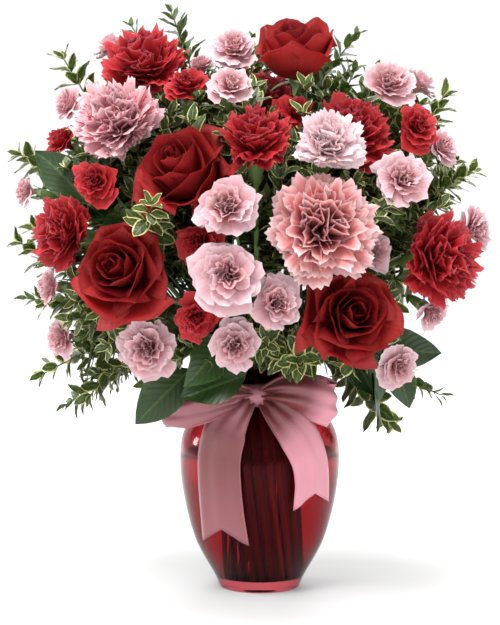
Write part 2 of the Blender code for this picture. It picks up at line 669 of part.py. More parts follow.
def rosette(base, way, face, leaf, count, size, rng):
    """A whorl of pointed leaves round a twig as one thin star that arches out from it.

    The outline runs round the twig: a notch, a shoulder, the tip and the other shoulder of each leaf.
    The upper and the under face are alike: fans from the hub, which sit a blade's thickness apart.
    """
    aside, upward = across_axes(way)
    start = rng.uniform(0, 2 * math.pi)
    outline = []
    for i in range(count):
        turn = start + (i + 0.12 * rng.standard_normal()) * 2 * math.pi / count
        out = aside * math.cos(turn) + upward * math.sin(turn)
        round_way = np.cross(way, out)
        notch_turn = start + (i - 0.5) * 2 * math.pi / count
        notch_out = aside * math.cos(notch_turn) + upward * math.sin(notch_turn)
        length = leaf["length"] * size * rng.uniform(0.85, 1.1)
        width = leaf["width"] * size
        flat = math.sqrt(max(1.0 - face ** 2, 0.05)) * length
        rise = face * length
        tip_lift = 0.95 - 0.3 * rng.random()
        outline.append(base + notch_out * 2.4 * MM + way * 0.3 * MM)
        for t, w, lift in ((0.55, -0.5, 0.58), (1.0, 0.0, tip_lift), (0.55, 0.5, 0.58)):
            outline.append(base + out * t * flat + round_way * w * width + way * lift * rise)
    points = outline + [base + way * 1.0 * MM, base - way * 0.9 * MM]
    edge = 4 * count
    faces = []
    for a in range(edge):
        b = (a + 1) % edge
        faces += [(a, b, edge), (b, a, edge + 1)]
    return np.array(points), faces


def broad_leaf(base, way, face, length, width, droop, rng):
    """A broad pointed blade folded along its midrib, with waved edges, as two alike faces."""
    aside = unit(np.cross(way, face))
    normal = np.cross(aside, way)
    stations = [(0.20, 0.38), (0.50, 0.50), (0.80, 0.28)]
    points = [base]
    for side in (1.0, -1.0):
        for t, w in stations:
            rise = 0.16 * w * width + 0.05 * width * rng.standard_normal() - droop * length * t * t
            points.append(base + way * t * length + aside * side * w * width + normal * rise)
    points.append(base + way * length * 0.98 - normal * droop * length * 1.1)
    for level in (0.5, -0.5):
        for t, _ in stations:
            rise = level * BLADE_THICKNESS - droop * length * t * t
            points.append(base + way * t * length + normal * rise)
    left, right, tip, upper, lower = [1, 2, 3], [4, 5, 6], 7, [8, 9, 10], [11, 12, 13]
    faces = []
    for middle, turn in ((upper, 1), (lower, -1)):
        patch = [(0, left[0], middle[0]), (0, middle[0], right[0])]
        for i in range(2):
            patch += [(left[i], left[i + 1], middle[i]), (left[i + 1], middle[i + 1], middle[i])]
            patch += [(right[i], middle[i], right[i + 1]), (right[i + 1], middle[i], middle[i + 1])]
        patch += [(left[2], tip, middle[2]), (right[2], middle[2], tip)]
        faces += [f if turn > 0 else f[::-1] for f in patch]
    return np.array(points), faces


def outline_curve(points, steps):
    """A smooth curve through the points of a profile, a few steps between each two."""
    padded = np.vstack([2 * points[0] - points[1], points, 2 * points[-1] - points[-2]])
    parts = []
    for i in range(1, len(padded) - 2):
        p0, p1, p2, p3 = padded[i - 1:i + 3]
        t = np.linspace(0.0, 1.0, steps, endpoint=False)[:, None]
        parts.append(0.5 * (2 * p1 + (p2 - p0) * t + (2 * p0 - 5 * p1 + 4 * p2 - p3) * t ** 2
                            + (3 * p1 - p0 - 3 * p2 + p3) * t ** 3))
    parts.append(points[-1:])
    return np.vstack(parts)


def vase_radius(height, inner=False):
    """The vase's radius at a height, outside or inside the glass."""
    rows = VASE_OUTER[::-1]
    radius = np.interp(height, rows[:, 1], rows[:, 0])
    return radius - GLASS if inner else radius


def inner_profile():
    """The inside of the glass from the floor's middle up to the lip."""
    heights = np.array([41.0, 80.0, 114.0, 147.0, 159.0, 173.0]) * MM
    return [(0.0, FLOOR_HEIGHT), (FLOOR_RADIUS, FLOOR_HEIGHT)] + [
        (float(vase_radius(h, True)), float(h)) for h in heights]


def make_vase(collection):
    """The glass vase: one closed wall with a thick foot."""
    inner = inner_profile()
    lip = (35.4 * MM, 184.6 * MM)
    outer = [(float(r), float(z)) for r, z in VASE_OUTER]
    profile = inner + [lip] + outer + [(0.0, 0.0)]
    return turned("glass_vase", profile, "glass", collection, VASE_SIDES)


def make_water(plants, collection):
    """The water, with a plain hole for each stem that stands in it."""
    side = [(r - 0.5 * MM, z + 0.4 * MM) for r, z in inner_profile() if z < WATER_LINE]
    side[0] = (0.0, FLOOR_HEIGHT + 0.4 * MM)
    rim = float(vase_radius(WATER_LINE, True)) - 0.6 * MM
    profile = side + [(rim, WATER_LINE), (0.0, WATER_LINE)]
    water = turned("water", profile[::-1], "water", collection, VASE_SIDES)
    cutters = bpy.data.collections["cutters"]
    for name, plant in plants.items():
        ends = [bundle_point(plant["place"], h) for h in (FLOOR_HEIGHT - 4 * MM, WATER_LINE + 5 * MM)]
        radius = STEM_RADIUS[plant["kind"]] * 1.06 + HOLE_CLEARANCE
        tube("hole_" + name, ends, [radius, radius], "water", cutters)
    cut = water.modifiers.new("holes", "BOOLEAN")
    cut.operation = "DIFFERENCE"
    cut.solver = "MANIFOLD"
    cut.operand_type = "COLLECTION"
    cut.collection = cutters
    water = baked(water, "water", collection, 0.00001 * MM)
    edit = bmesh.new()
    edit.from_mesh(water.data)
    bmesh.ops.dissolve_limit(edit, angle_limit=math.radians(1.0), verts=edit.verts, edges=edit.edges)
    bmesh.ops.triangulate(edit, faces=edit.faces)
    edit.to_mesh(water.data)
    edit.free()
    for thing in list(cutters.objects):
        bpy.data.objects.remove(thing)
    water.name = "water"
    return water


def strip(name, middle, across, normal, widths, thickness, collection, notch=0.0):
    """A ribbon's length: a thin strip along a line of points, with a cut or notched end.

    The face has a row of points at each station, and the back is the same row set behind it.
    """
    middle, across, normal = np.array(middle), unit(np.array(across)), unit(np.array(normal))
    count = len(middle)
    widths = np.array(widths)[:, None]
    sides = (-0.5, 0.0, 0.5) if notch else (-0.5, 0.5)
    face = np.stack([middle + across * widths * side for side in sides], axis=1)
    if notch:
        last = face[-2, 1] - face[-1, 1]
        face[-1, 1] += last / np.linalg.norm(last) * notch
    back = face - normal[:, None, :] * thickness
    vertices = np.concatenate([face.reshape(-1, 3), back.reshape(-1, 3)])
    row = len(sides)
    shift = count * row
    faces = []
    for i in range(count - 1):
        for j in range(row - 1):
            a, b = i * row + j, i * row + j + 1
            c, d = b + row, a + row
            faces += [(a, b, c), (a, c, d)]
            faces += [(b + shift, a + shift, c + shift), (c + shift, a + shift, d + shift)]
        for j in (0, row - 1):
            a, b = i * row + j, (i + 1) * row + j
            faces += [(a, b, b + shift), (a, b + shift, a + shift)]
    for i in (0, count - 1):
        for j in range(row - 1):
            a, b = i * row + j, i * row + j + 1
            faces += [(a, b, b + shift), (a, b + shift, a + shift)]
    thing = make_object(name, vertices, faces, "ribbon", collection)
    edit = bmesh.new()
    edit.from_mesh(thing.data)
    bmesh.ops.recalc_face_normals(edit, faces=edit.faces)
    edit.to_mesh(thing.data)
    edit.free()
    return thing


def make_ribbon(collection):
    """The ribbon: a band round the neck, its knot, two loops and two forked tails."""
    pieces = []
    inside = NECK_RADIUS + GAP
    band = [
        (inside, BAND_HIGH), (BAND_OUTSIDE, BAND_HIGH), (BAND_OUTSIDE, BAND_LOW), (inside, BAND_LOW),
        (inside, BAND_HIGH),
    ]
    pieces.append(turned("band", band, "ribbon", collection, VASE_SIDES))
    edit = bmesh.new()
    bmesh.ops.create_uvsphere(edit, u_segments=8, v_segments=5, radius=1.0)
    bmesh.ops.scale(edit, verts=edit.verts, vec=KNOT_HALF_SIZE)
    bmesh.ops.translate(edit, verts=edit.verts, vec=KNOT_MIDDLE)
    mesh = bpy.data.meshes.new("knot")
    edit.to_mesh(mesh)
    edit.free()
    knot = bpy.data.objects.new("knot", mesh)
    collection.objects.link(knot)
    pieces.append(knot)
    for name, (spots, lean) in LOOPS.items():
        middle = np.array(spots) * MM
        along = unit(np.gradient(middle, axis=0))
        across = np.tile(np.array(lean), (len(middle), 1))
        across = across - along * (across * along).sum(axis=1, keepdims=True)
        normal = np.cross(unit(across), along)
        share = np.linspace(0.0, 1.0, len(middle))
        start, full = LOOP_WIDTHS
        widths = start + (full - start) * np.sin(share * math.pi) ** 0.7
        pieces.append(strip(name, middle, across, normal, widths, RIBBON_THICKNESS, collection))
    for name, (spots, (start, full, notch)) in TAILS.items():
        spots = np.array(spots, float) * MM
        x, z, r = spots[:, 0], spots[:, 1], spots[:, 2]
        middle = np.stack([x, -np.sqrt(r ** 2 - x ** 2), z], axis=1)
        out = unit(middle * np.array([1.0, 1.0, 0.0]))
        along = unit(np.gradient(middle, axis=0))
        across = unit(np.cross(along, out))
        normal = np.cross(across, along)
        normal *= np.sign((normal * out).sum(axis=1, keepdims=True) + 1e-9)
        share = np.clip(np.linspace(0.0, 2.2, len(middle)), 0.0, 1.0)
        widths = (start + (full - start) * share) * MM
        tail = strip(name, middle, across, normal, widths, RIBBON_THICKNESS, collection, notch * MM)
        pieces.append(tail)
    return join("ribbon_bow", pieces, "ribbon", collection)


def stem_line(plant, path):
    """A stem's few points, from the floor of the vase up the given course."""
    foot = bundle_point(plant["place"], FLOOR_HEIGHT + 0.5 * MM)
    return np.vstack([foot, path["points"][STEM_PICKS]])


def with_calyx(points, radius, head, sunk=0.0):
    """A stem's points and radii, carried on through its calyx up to the mouth that holds the petals."""
    kind = head["kind"]
    mouth, base, foot = CALYX_MOUTH[kind], head["base"], head["foot"]
    up = base - foot
    if kind == "rose":
        shape = [(0.3, mouth), (1.0, mouth * 0.95)]
    else:
        shape = [(1.0, mouth)] if kind == "mini" else [(0.15, mouth * 0.7), (1.0, mouth)]
    line = np.vstack([points] + [foot + up * t for t, _ in shape])
    line[-1] = line[-1] - unit(up) * sunk
    return line, [radius] * len(points) + [r for _, r in shape]


def world_tree(things):
    """One search tree over the faces of all the given objects."""
    vertices, faces = [], []
    for thing in things:
        mesh = thing.data
        start = len(vertices)
        vertices += [tuple(thing.matrix_world @ v.co) for v in mesh.vertices]
        faces += [tuple(start + i for i in p.vertices) for p in mesh.polygons]
    return BVHTree.FromPolygons(vertices, faces)


def leaf_is_clear(vertices, faces, trees):
    """True when a blade, taken a little larger than it is, meets none of the other pieces."""
    middle = vertices.mean(axis=0)
    grown = middle + (vertices - middle) * 1.06
    normal = unit(np.cross(vertices[1] - vertices[0], vertices[2] - vertices[0]))
    for shift in (-0.8 * MM, 0.8 * MM):
        blade = BVHTree.FromPolygons([tuple(v + normal * shift) for v in grown], faces)
        if any(blade.overlap(tree) for tree in trees):
            return False
    return True


def twig_leaves(points, kind, trees, rng):
    """The whorls or broad blades of a twig's outer part, without those that would touch a neighbour."""
    leaf = LEAVES[kind]
    steps = np.linalg.norm(np.diff(points, axis=0), axis=1)
    run = np.concatenate([[0.0], np.cumsum(steps)])
    blades = []
    turn = rng.uniform(0, 2 * math.pi)
    for tier, count in enumerate(leaf["whorls"]):
        distance = run[-1] - 0.8 * MM - tier * leaf["spacing"]
        if distance < 0.25 * run[-1]:
            break
        index = min(int(np.searchsorted(run, distance)), len(points) - 1)
        share = (distance - run[index - 1]) / max(run[index] - run[index - 1], 1e-9)
        base = points[index - 1] + (points[index] - points[index - 1]) * share
        way = unit(points[index] - points[index - 1])
        size = rng.uniform(0.85, 1.05)
        if kind != "broad":
            for face, shrink in WHORL_TRIES:
                blade = rosette(base, way, face, leaf, count, size * shrink, rng)
                if leaf_is_clear(*blade, trees):
                    blades.append(blade)
                    break
            continue
        aside, upward = across_axes(way)
        for _ in range(count):
            turn += GOLDEN_TURN
            radial = aside * math.cos(turn) + upward * math.sin(turn)
            for spread, shrink in BROAD_TRIES:
                out = unit(way + radial * spread)
                face = unit(way - out * (way @ out) + 0.3 * radial + np.array([0.0, 0.0, 0.4]))
                blade = broad_leaf(base, out, face, leaf["length"] * size * shrink,
                                   leaf["width"] * size * shrink, BROAD_DROOP, rng)
                if leaf_is_clear(*blade, trees):
                    blades.append(blade)
                    break
    return blades


def sepals(base, way, turn):
    """The five bent-back sepals under a rose, as one thin star: fans from its middle to its edge."""
    aside, upward = across_axes(way)
    points = []
    for i in range(10):
        angle = turn + i * math.pi / 5
        out = aside * math.cos(angle) + upward * math.sin(angle)
        reach, sink = SEPAL_TIP if i % 2 == 0 else SEPAL_NOTCH
        points.append(base + out * reach - way * sink)
    points += [base - way * 0.8 * MM, base - way * 3.0 * MM]
    faces = []
    for i in range(10):
        k = (i + 1) % 10
        faces += [(i, k, 10), (k, i, 11)]
    return np.array(points), faces


def make_stems(plants, paths, heads, collection):
    """The green stem of each rose and large carnation."""
    things = []
    for name, plant in plants.items():
        if plant["kind"] not in ("rose", "carnation"):
            continue
        head = heads[plant["heads"][0]]
        radius = STEM_RADIUS[plant["kind"]]
        line, radii = with_calyx(stem_line(plant, paths[plant["paths"][0]]), radius, head)
        stem = tube(name + "_stem", line, radii, "stem", collection)
        if plant["kind"] == "rose":
            star = sepals(head["base"], head["facing"], 0.4)
            pieces = [stem, make_object("sepals", *star, "stem", collection)]
            stem = join(name + "_stem", pieces, "stem", collection)
        things.append(stem)
    return things


def make_sprays(plants, paths, heads, obstacles, collection, rng):
    """Each spray: a branched stem with its small blooms grown on it."""
    things = []
    for name, plant in plants.items():
        if plant["kind"] != "mini":
            continue
        trunk = stem_line(plant, paths[plant["paths"][0]])
        pieces = [tube(name, trunk, [STEM_RADIUS["mini"]] * len(trunk), plant["colour"], collection)]
        for number, index in zip(plant["paths"][1:], plant["heads"]):
            head = heads[index]
            course = paths[number]["points"][BRANCH_PICKS]
            line, radii = with_calyx(course, TWIG_RADIUS, head, 0.5 * MM)
            pieces.append(tube("branch", line, radii, plant["colour"], collection, sides=4))
            local, faces = mini_shape(rng)
            vertices = place_bloom(local, head, rng.uniform(0, 6.28))
            vertices = press_into_cell(vertices, head, obstacles(index))
            pieces.append(make_object("bloom", vertices, faces, plant["colour"], collection))
        things.append(join(name, pieces, plant["colour"], collection))
    return things


def make_blooms(plants, heads, obstacles, collection, rng):
    """The bloom of each rose and large carnation, just clear of its calyx."""
    things = []
    for name, plant in plants.items():
        if plant["kind"] not in ("rose", "carnation"):
            continue
        index = plant["heads"][0]
        head = heads[index]
        local, faces = rose_shape(rng) if plant["kind"] == "rose" else carnation_shape(rng)
        vertices = place_bloom(local, head, rng.uniform(0, 6.28))
        vertices = press_into_cell(vertices, head, obstacles(index))
        things.append(make_object(name + "_bloom", vertices, faces, plant["colour"], collection))
    return things


def make_sprigs(plants, paths, taken, collection, rng):
    """The greenery: branched stems with the blades that find room among the flowers."""
    trees = [world_tree([thing]) for thing in taken]
    stems = {}
    for name, plant in plants.items():
        if plant["kind"] != "sprig":
            continue
        trunk = stem_line(plant, paths[plant["paths"][0]])
        stems[name] = [tube(name, trunk, [STEM_RADIUS["sprig"]] * len(trunk), "leaf", collection)]
        for number in plant["paths"][1:]:
            course = paths[number]["points"][TWIG_PICKS]
            radii = np.linspace(TWIG_RADIUS, 0.8 * MM, len(course))
            stems[name].append(tube("twig", course, radii, "leaf", collection, sides=4))
    stem_trees = {name: [world_tree([t]) for t in things] for name, things in stems.items()}
    made = {}
    for name, plant in plants.items():
        if plant["kind"] != "sprig":
            continue
        others = [tree for other, group in stem_trees.items() if other != name for tree in group]
        pieces = stems[name]
        for number in plant["paths"][1:]:
            points = paths[number]["points"][TWIG_PICKS]
            blades = twig_leaves(points, plant["leaf"], trees + others + list(made.values()), rng)
            pieces += [make_object("leaf", v, f, "leaf", collection) for v, f in blades]
        made[name] = world_tree([join(name, pieces, "leaf", collection)])


def clear_scene():
    """Removes every object that the scene opened with."""
    for thing in list(bpy.data.objects):
        bpy.data.objects.remove(thing)


def main():
    """Lays the bouquet out, then makes the vase, water, ribbon, stems, blooms, sprays and sprigs."""
    clear_scene()
    scene = bpy.context.scene.collection
    collection = bpy.data.collections.new("roses_in_a_vase")
    cutters = bpy.data.collections.new("cutters")
    scene.children.link(collection)
    scene.children.link(cutters)
    rng = np.random.default_rng(SEED)

    heads, plants = read_flowers()
    relax_heads(heads)
    for head in heads:
        head["owner"] = plants[head["plant"]]
    for name, (leaf, tips) in SPRIGS.items():
        ends = [on_dome(*tip) for tip in tips]
        plants[name] = {
            "kind": "sprig", "leaf": leaf, "heads": [], "ends": ends,
            "ways": [unit(outward(e) + np.array([0.0, 0.0, -0.2])) for e in ends],
        }
    paths = lay_paths(heads, plants)
    relax_paths(paths, heads, False)
    relax_paths(paths, heads, True)

    def obstacles(index):
        """The balls that a head's bloom is pressed against: other heads, and other plants' stems."""
        head = heads[index]
        near = []
        for other in heads:
            if other is head:
                continue
            near.append((other["centre"], BLOOM_REACH[other["kind"]] * other["radius"]))
            for share in (0.25, 0.75):
                spot = other["base"] + (other["foot"] - other["base"]) * share
                sepals = SEPAL_ROOM if other["kind"] == "rose" else 1 * MM
                near.append((spot, CALYX_MOUTH[other["kind"]] + sepals))
        for path in paths:
            if path["plant"] is not head["owner"]:
                fine = outline_curve(path["points"], 2)
                near += [(spot, path["radius"] + 0.6 * MM) for spot in fine]
        return near

    vase = make_vase(collection)
    water = make_water(plants, collection)
    ribbon = make_ribbon(collection)
    stems = make_stems(plants, paths, heads, collection)
    blooms = make_blooms(plants, heads, obstacles, collection, rng)
    sprays = make_sprays(plants, paths, heads, obstacles, collection, rng)
    make_sprigs(plants, paths, [vase, ribbon] + stems + blooms + sprays, collection, rng)
    bpy.data.collections.remove(cutters)
    for thing in collection.objects:
        if thing.name in ("glass_vase", "water"):
            thing.data.shade_smooth()
            thing.data.set_sharp_from_angle(angle=math.radians(35))


main()
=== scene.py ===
"""Roses in a vase: red roses, red and pink carnations and greenery in a ruby glass jar with a satin bow.

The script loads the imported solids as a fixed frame, works out again where every flower head and stem
goes, and puts petals, leaves, stems, glass, water and ribbon in the places of the solids.
"""

import logging
import math
from dataclasses import dataclass, field
from enum import Enum

import bmesh
import bpy
import numpy as np
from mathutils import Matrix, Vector


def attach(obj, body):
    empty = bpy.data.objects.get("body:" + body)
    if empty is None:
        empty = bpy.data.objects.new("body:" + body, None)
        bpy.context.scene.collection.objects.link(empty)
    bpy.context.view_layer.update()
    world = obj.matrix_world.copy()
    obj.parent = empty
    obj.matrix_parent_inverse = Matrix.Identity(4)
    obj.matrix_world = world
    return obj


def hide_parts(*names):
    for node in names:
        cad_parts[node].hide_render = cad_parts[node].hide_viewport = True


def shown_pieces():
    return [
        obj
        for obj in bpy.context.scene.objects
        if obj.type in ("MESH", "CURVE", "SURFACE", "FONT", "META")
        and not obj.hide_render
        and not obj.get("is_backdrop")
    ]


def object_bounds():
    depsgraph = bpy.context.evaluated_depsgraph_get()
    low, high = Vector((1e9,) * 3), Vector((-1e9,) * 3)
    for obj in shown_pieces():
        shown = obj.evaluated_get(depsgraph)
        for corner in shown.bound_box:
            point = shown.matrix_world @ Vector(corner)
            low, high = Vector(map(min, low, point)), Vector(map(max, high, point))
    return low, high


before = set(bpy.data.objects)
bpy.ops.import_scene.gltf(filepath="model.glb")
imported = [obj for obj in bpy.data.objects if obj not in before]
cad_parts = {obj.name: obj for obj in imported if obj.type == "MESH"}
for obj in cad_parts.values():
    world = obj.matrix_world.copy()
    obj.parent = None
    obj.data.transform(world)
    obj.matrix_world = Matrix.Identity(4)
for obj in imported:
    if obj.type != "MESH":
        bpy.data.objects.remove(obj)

MM = 0.001
GOLDEN_TURN = math.radians(137.507)
CAD_BOX = [list(corner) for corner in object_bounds()]

logging.basicConfig(level=logging.INFO, format="%(name)s: %(message)s")
LOG = logging.getLogger("roses_in_a_vase")

Colour = tuple[float, float, float]
Place = tuple[float, float, float]
Array = np.ndarray
Random = np.random.Generator
Socket = bpy.types.NodeSocket
Paint = dict[str, Array | float]


class Kind(Enum):
    """What a plant of the bouquet is."""

    ROSE = "rose"
    CARNATION = "carnation"
    MINI = "mini"
    SPRIG = "sprig"


class Foliage(Enum):
    """The three kinds of greenery."""

    WHORLED = "whorled"
    ALTERNATE = "alternate"
    BROAD = "broad"


# The vase as (radius, height) from the lip down to the foot, and what stands in it.
VASE_OUTER = np.array([
    (38.0, 184.0), (33.4, 173.0), (33.0, 159.0), (49.0, 147.0), (61.0, 135.0), (66.4, 114.0),
    (64.0, 80.0), (54.0, 41.0), (37.5, 10.0), (33.0, 0.0),
]) * MM
GLASS = 3.0 * MM
FLOOR_HEIGHT = 9.0 * MM
WATER_LINE = 112.0 * MM
NECK_BUNDLE = 26.0 * MM
FLOOR_BUNDLE = 26.5 * MM
BUNDLE_TOP = 190.0 * MM
BUNDLE_TWIST = math.radians(55.0)
BUNDLE_SPACING = 0.275
BUNDLE_SLACK = 1.03
BUNDLE_SPREAD = 0.9
STEM_CLEARANCE = 2.9 * MM
STEM_FOOT_GAP = 0.5 * MM

# The dome that the flowers sit on, and where it is seen from.
DOME_HALF_WIDTH = 205.0 * MM
DOME_HALF_HEIGHT = 168.0 * MM
DOME_DEPTH = 150.0 * MM
BACK_DEPTH = 108.0 * MM
DOME_HEIGHT = 300.0 * MM
LEAST_SWELL = 0.02
VIEW_DISTANCE = 1600.0 * MM
EYE_HEIGHT = 360.0 * MM

# Radii of the stems and twigs, and the proportions of the blooms and calyxes.
STEM_RADIUS = {Kind.ROSE: 2.6 * MM, Kind.CARNATION: 2.0 * MM, Kind.MINI: 1.8 * MM, Kind.SPRIG: 1.4 * MM}
TWIG_RADIUS = 1.1 * MM
BLOOM_MIDDLE = 0.62
BLOOM_REACH = {Kind.ROSE: 1.12, Kind.CARNATION: 1.10, Kind.MINI: 1.10}
CALYX_LENGTH = {Kind.ROSE: 12.0 * MM, Kind.CARNATION: 26.0 * MM, Kind.MINI: 17.0 * MM}
CALYX_MOUTH = {Kind.ROSE: 5.0 * MM, Kind.CARNATION: 6.5 * MM, Kind.MINI: 4.6 * MM}

# The room that the bow takes, as balls of (x, y, z, radius) in mm that the stems keep out of.
BOW_ROOM = [
    (-2, -43, 164, 17), (-18, -56, 158, 12), (18, -58, 160, 14), (-30, -58, 166, 14),
    (-60, -54, 163, 16), (30, -60, 168, 16), (50, -58, 172, 25),
]

# A stem leaves the bundle by its own lean and somewhat out and up, and forks at a share of its way.
LEAN_RUN = 30.0 * MM
LEAVE_OUT = 0.35
LEAVE_UP = 0.5
FORK_SHARE = 0.42
FORK_RISE = 12.0 * MM
FORK_SPREAD = 0.9
BEND_PULL = 0.36
PATH_SAMPLES = 22
STEM_PICKS = [0, 7, 14, 21]
TWIG_PICKS = [0, 7, 14, 21]
BRANCH_PICKS = [0, 10, 21]
LINE_STEPS = 5

# How often the heads, the bundle and the stems are moved apart, and by how much of an overlap each time.
HEAD_ROUNDS = 260
BUNDLE_ROUNDS = 1500
SMOOTH_ROUNDS = 260
STRAIGHT_ROUNDS = 520
LOOK_AGAIN = 20
HEAD_PUSH = 0.3
HEAD_PULL = 0.02
BUNDLE_PUSH = 0.4
STEM_PUSH = 0.35
BALL_PUSH = 0.4
LIP_PUSH = 0.5
STRAIGHT_PUSH = 1.6
SMOOTHING = 0.25
# A bloom keeps this share of its radius free, and the upper and the lower part of a calyx this much round
# its mouth's radius. Heads give way by these shares along X, Y and Z.
BLOOM_FIRMNESS = 0.86
CALYX_ROOM = (2.5 * MM, 1.5 * MM)
GIVE_WAY = (0.4, 1.0, 0.4)
# What a stem keeps clear of: shares of a bloom's radius and of a calyx's length, and the room beside them.
BLOOM_BALL = 0.92
CALYX_BALL = 0.6
BALL_ROOM = 1.5 * MM
# How near a stem or a ball is looked at, and the ring above the vase's lip that stems stay clear of.
STEM_NEAR = 16.0 * MM
BALL_NEAR = 20.0 * MM
LIP_ROOM = 62.0 * MM
LIP_RISE = 2.0 * MM

# Meshes: edges sharper than this stay hard, and a tube's end is drawn to this share of its radius. A
# lathe's corners on the axis stand on a ring this small, and corners this near are welded.
SHARP_EDGE = math.radians(130.0)
TIP_SHARE = 0.02
AXIS_RING = 1e-6
WELD_REACH = 1e-5

# Each flower head: across and up as seen from the front, set-back from the dome, width (all in mm),
# and where it looks, as (azimuth, elevation) in degrees or None for straight out of the dome.
ROSES = {
    "rose_left": [(-118, 265, 0, 80, (-16, 14))],
    "rose_right": [(78, 229, 0, 78, (10, 12))],
    "rose_upper_left": [(-64, 350, 22, 88, (-25, 38))],
    "rose_top": [(25, 434, 48, 62, (-5, 72))],
    "rose_back_left": [(-75, 300, None, 76, None)],
    "rose_back_right": [(60, 345, None, 76, None)],
}
RED_CARNATIONS = {
    "red_carnation_upper_left": [(-95, 434, 15, 72, (-12, 45))],
    "red_carnation_upper_right": [(76, 384, 30, 74, (12, 40))],
    "red_carnation_right": [(152, 273, 0, 78, (42, 5))],
    "red_carnation_left": [(-164, 294, 0, 62, (-45, 8))],
    "red_carnation_centre": [(-8, 372, 10, 64, (0, 55))],
    "red_carnation_high": [(8, 412, 78, 58, (0, 55))],
    "red_carnation_back_top": [(-20, 410, None, 70, None)],
    "red_carnation_back_low": [(75, 240, None, 72, None)],
}
PINK_CARNATIONS = {
    "pink_carnation_left": [(-114, 384, 10, 78, (-18, 30))],
    "pink_carnation_middle": [(52, 308, 0, 92, (8, 16))],
    "pink_carnation_pale": [(58, 362, 8, 60, (5, 32))],
    "pink_carnation_back": [(-10, 245, None, 74, None)],
}
PINK_SPRAYS = {
    "pink_spray_upper_left": [
        (-121, 446, 25, 36, None), (-158, 396, 10, 36, (-60, 25)), (-193, 329, 20, 32, None)],
    "pink_spray_top": [
        (-22, 446, 20, 44, (0, 45)), (-24, 415, 10, 40, (5, 40)), (-49, 431, 60, 32, None)],
    "pink_spray_upper_right": [
        (102, 412, 15, 50, (5, 35)), (130, 417, 45, 40, None), (147, 367, 20, 36, None),
        (117, 338, 0, 50, (15, 20))],
    "pink_spray_centre": [
        (-28, 315, -4, 56, (-8, 18)), (-27, 261, -10, 60, (-4, 10)), (14, 236, 0, 48, (10, 12)),
        (-21, 201, 0, 45, (-4, -4))],
    "pink_spray_right": [
        (177, 296, 15, 44, (60, 10)), (92, 277, 25, 44, (15, 15)), (142, 228, 10, 36, None),
        (115, 184, 0, 38, (30, -12))],
    "pink_spray_lower_left": [
        (-93, 198, 0, 54, (-12, 2)), (-164, 207, 10, 38, (-50, -5)), (-174, 250, 20, 36, (-70, 5))],
    "pink_spray_back_left": [
        (-150, 335, None, 44, None), (-125, 245, None, 46, None)],
    "pink_spray_back_right": [
        (130, 360, None, 46, None), (0, 320, None, 50, None)],
}
RED_SPRAYS = {
    "red_spray_left": [(-135, 337, 10, 46, (-20, 12)), (-162, 374, 30, 38, None)],
    "red_spray_middle": [(-52, 225, 18, 42, (-8, -2)), (-50, 288, 32, 46, None)],
    "red_spray_top": [(-60, 415, 20, 42, (0, 55)), (36, 392, 45, 38, None), (126, 379, 20, 44, (20, 25))],
    "red_spray_back": [(-85, 385, None, 42, None), (25, 275, None, 42, None), (140, 285, None, 42, None)],
}
# Each sprig: its foliage and the tips of its twigs as (across, up, set-back).
SPRIGS = {
    "pittosporum_left": (Foliage.WHORLED, [(-89, 317, -6), (-160, 436, 35), (-196, 358, 40)]),
    "pittosporum_right": (Foliage.WHORLED, [(107, 320, 2), (172, 345, 25), (150, 405, 50)]),
    "pittosporum_low_front": (Foliage.WHORLED, [(32, 188, 14), (108, 138, 40), (70, 176, 20)]),
    "pittosporum_low_left": (Foliage.WHORLED, [(-178, 178, 20), (-140, 160, 30), (-196, 285, 25)]),
    "myrtle_top": (Foliage.ALTERNATE, [(-72, 474, 60), (-104, 462, 60), (78, 455, 70)]),
    "myrtle_side": (Foliage.ALTERNATE, [(-192, 240, 45), (150, 160, 55), (-160, 152, 60)]),
    "broad_leaf_left": (Foliage.BROAD, [(-142, 318, 45), (-72, 182, 35), (-20, 192, 30)]),
    "broad_leaf_right": (Foliage.BROAD, [(104, 198, 45), (88, 182, 50), (96, 288, 35)]),
    "greens_back": (Foliage.BROAD, [(-78, 215, None), (85, 285, None), (20, 196, None), (-50, 345, None)]),
}
# Extra twigs where the flowers leave gaps: (across, up, set-back) as above.
EXTRA_TWIGS = {
    "pittosporum_low_left": [
        (-168, 256, 25), (-146, 250, 25), (-180, 234, 30), (-158, 222, 15), (-190, 300, 30), (-152, 238, 30),
        (-132, 228, 30), (-112, 216, 35), (-150, 212, 35), (-126, 200, 30), (-142, 188, 45), (-104, 186, 45),
        (-120, 176, 45), (-92, 170, 30), (-158, 196, 55)],
    "pittosporum_low_front": [
        (-42, 182, 20), (-66, 190, 40), (5, 200, 30), (20, 186, 22), (50, 198, 40), (84, 196, 45),
        (106, 178, 50), (-20, 186, 45)],
    "pittosporum_right": [(150, 318, 35), (168, 262, 45), (135, 250, 40), (112, 235, 35)],
    "myrtle_side": [
        (-168, 236, 40), (-146, 170, 60), (-84, 204, 55), (118, 206, 45), (136, 190, 55), (98, 168, 60),
        (-100, 200, 60), (64, 184, 50)],
}
# A ring of twigs that hang over the vase's lip, and the sprigs that give them in turn.
COLLAR_RADIUS = 74.0 * MM
COLLAR_HEIGHT = 206.0 * MM
COLLAR_TWIGS = 18
COLLAR_SPRIGS = ("pittosporum_low_front", "myrtle_side", "pittosporum_low_left")
# Single broad leaves low over the bow and at the sides: where each starts and where its tip is, in mm.
PLACED_LEAVES = {
    "broad_leaf_left": [
        ((-55, -58, 188), (-99, -74, 147)), ((-12, -72, 184), (-62, -88, 168)),
        ((-126, -20, 321), (-172, -42, 347))],
    "broad_leaf_right": [
        ((87, -26, 202), (147, -34, 198)), ((110, -12, 190), (124, -24, 153)),
        ((66, -34, 208), (97, -44, 169))],
}
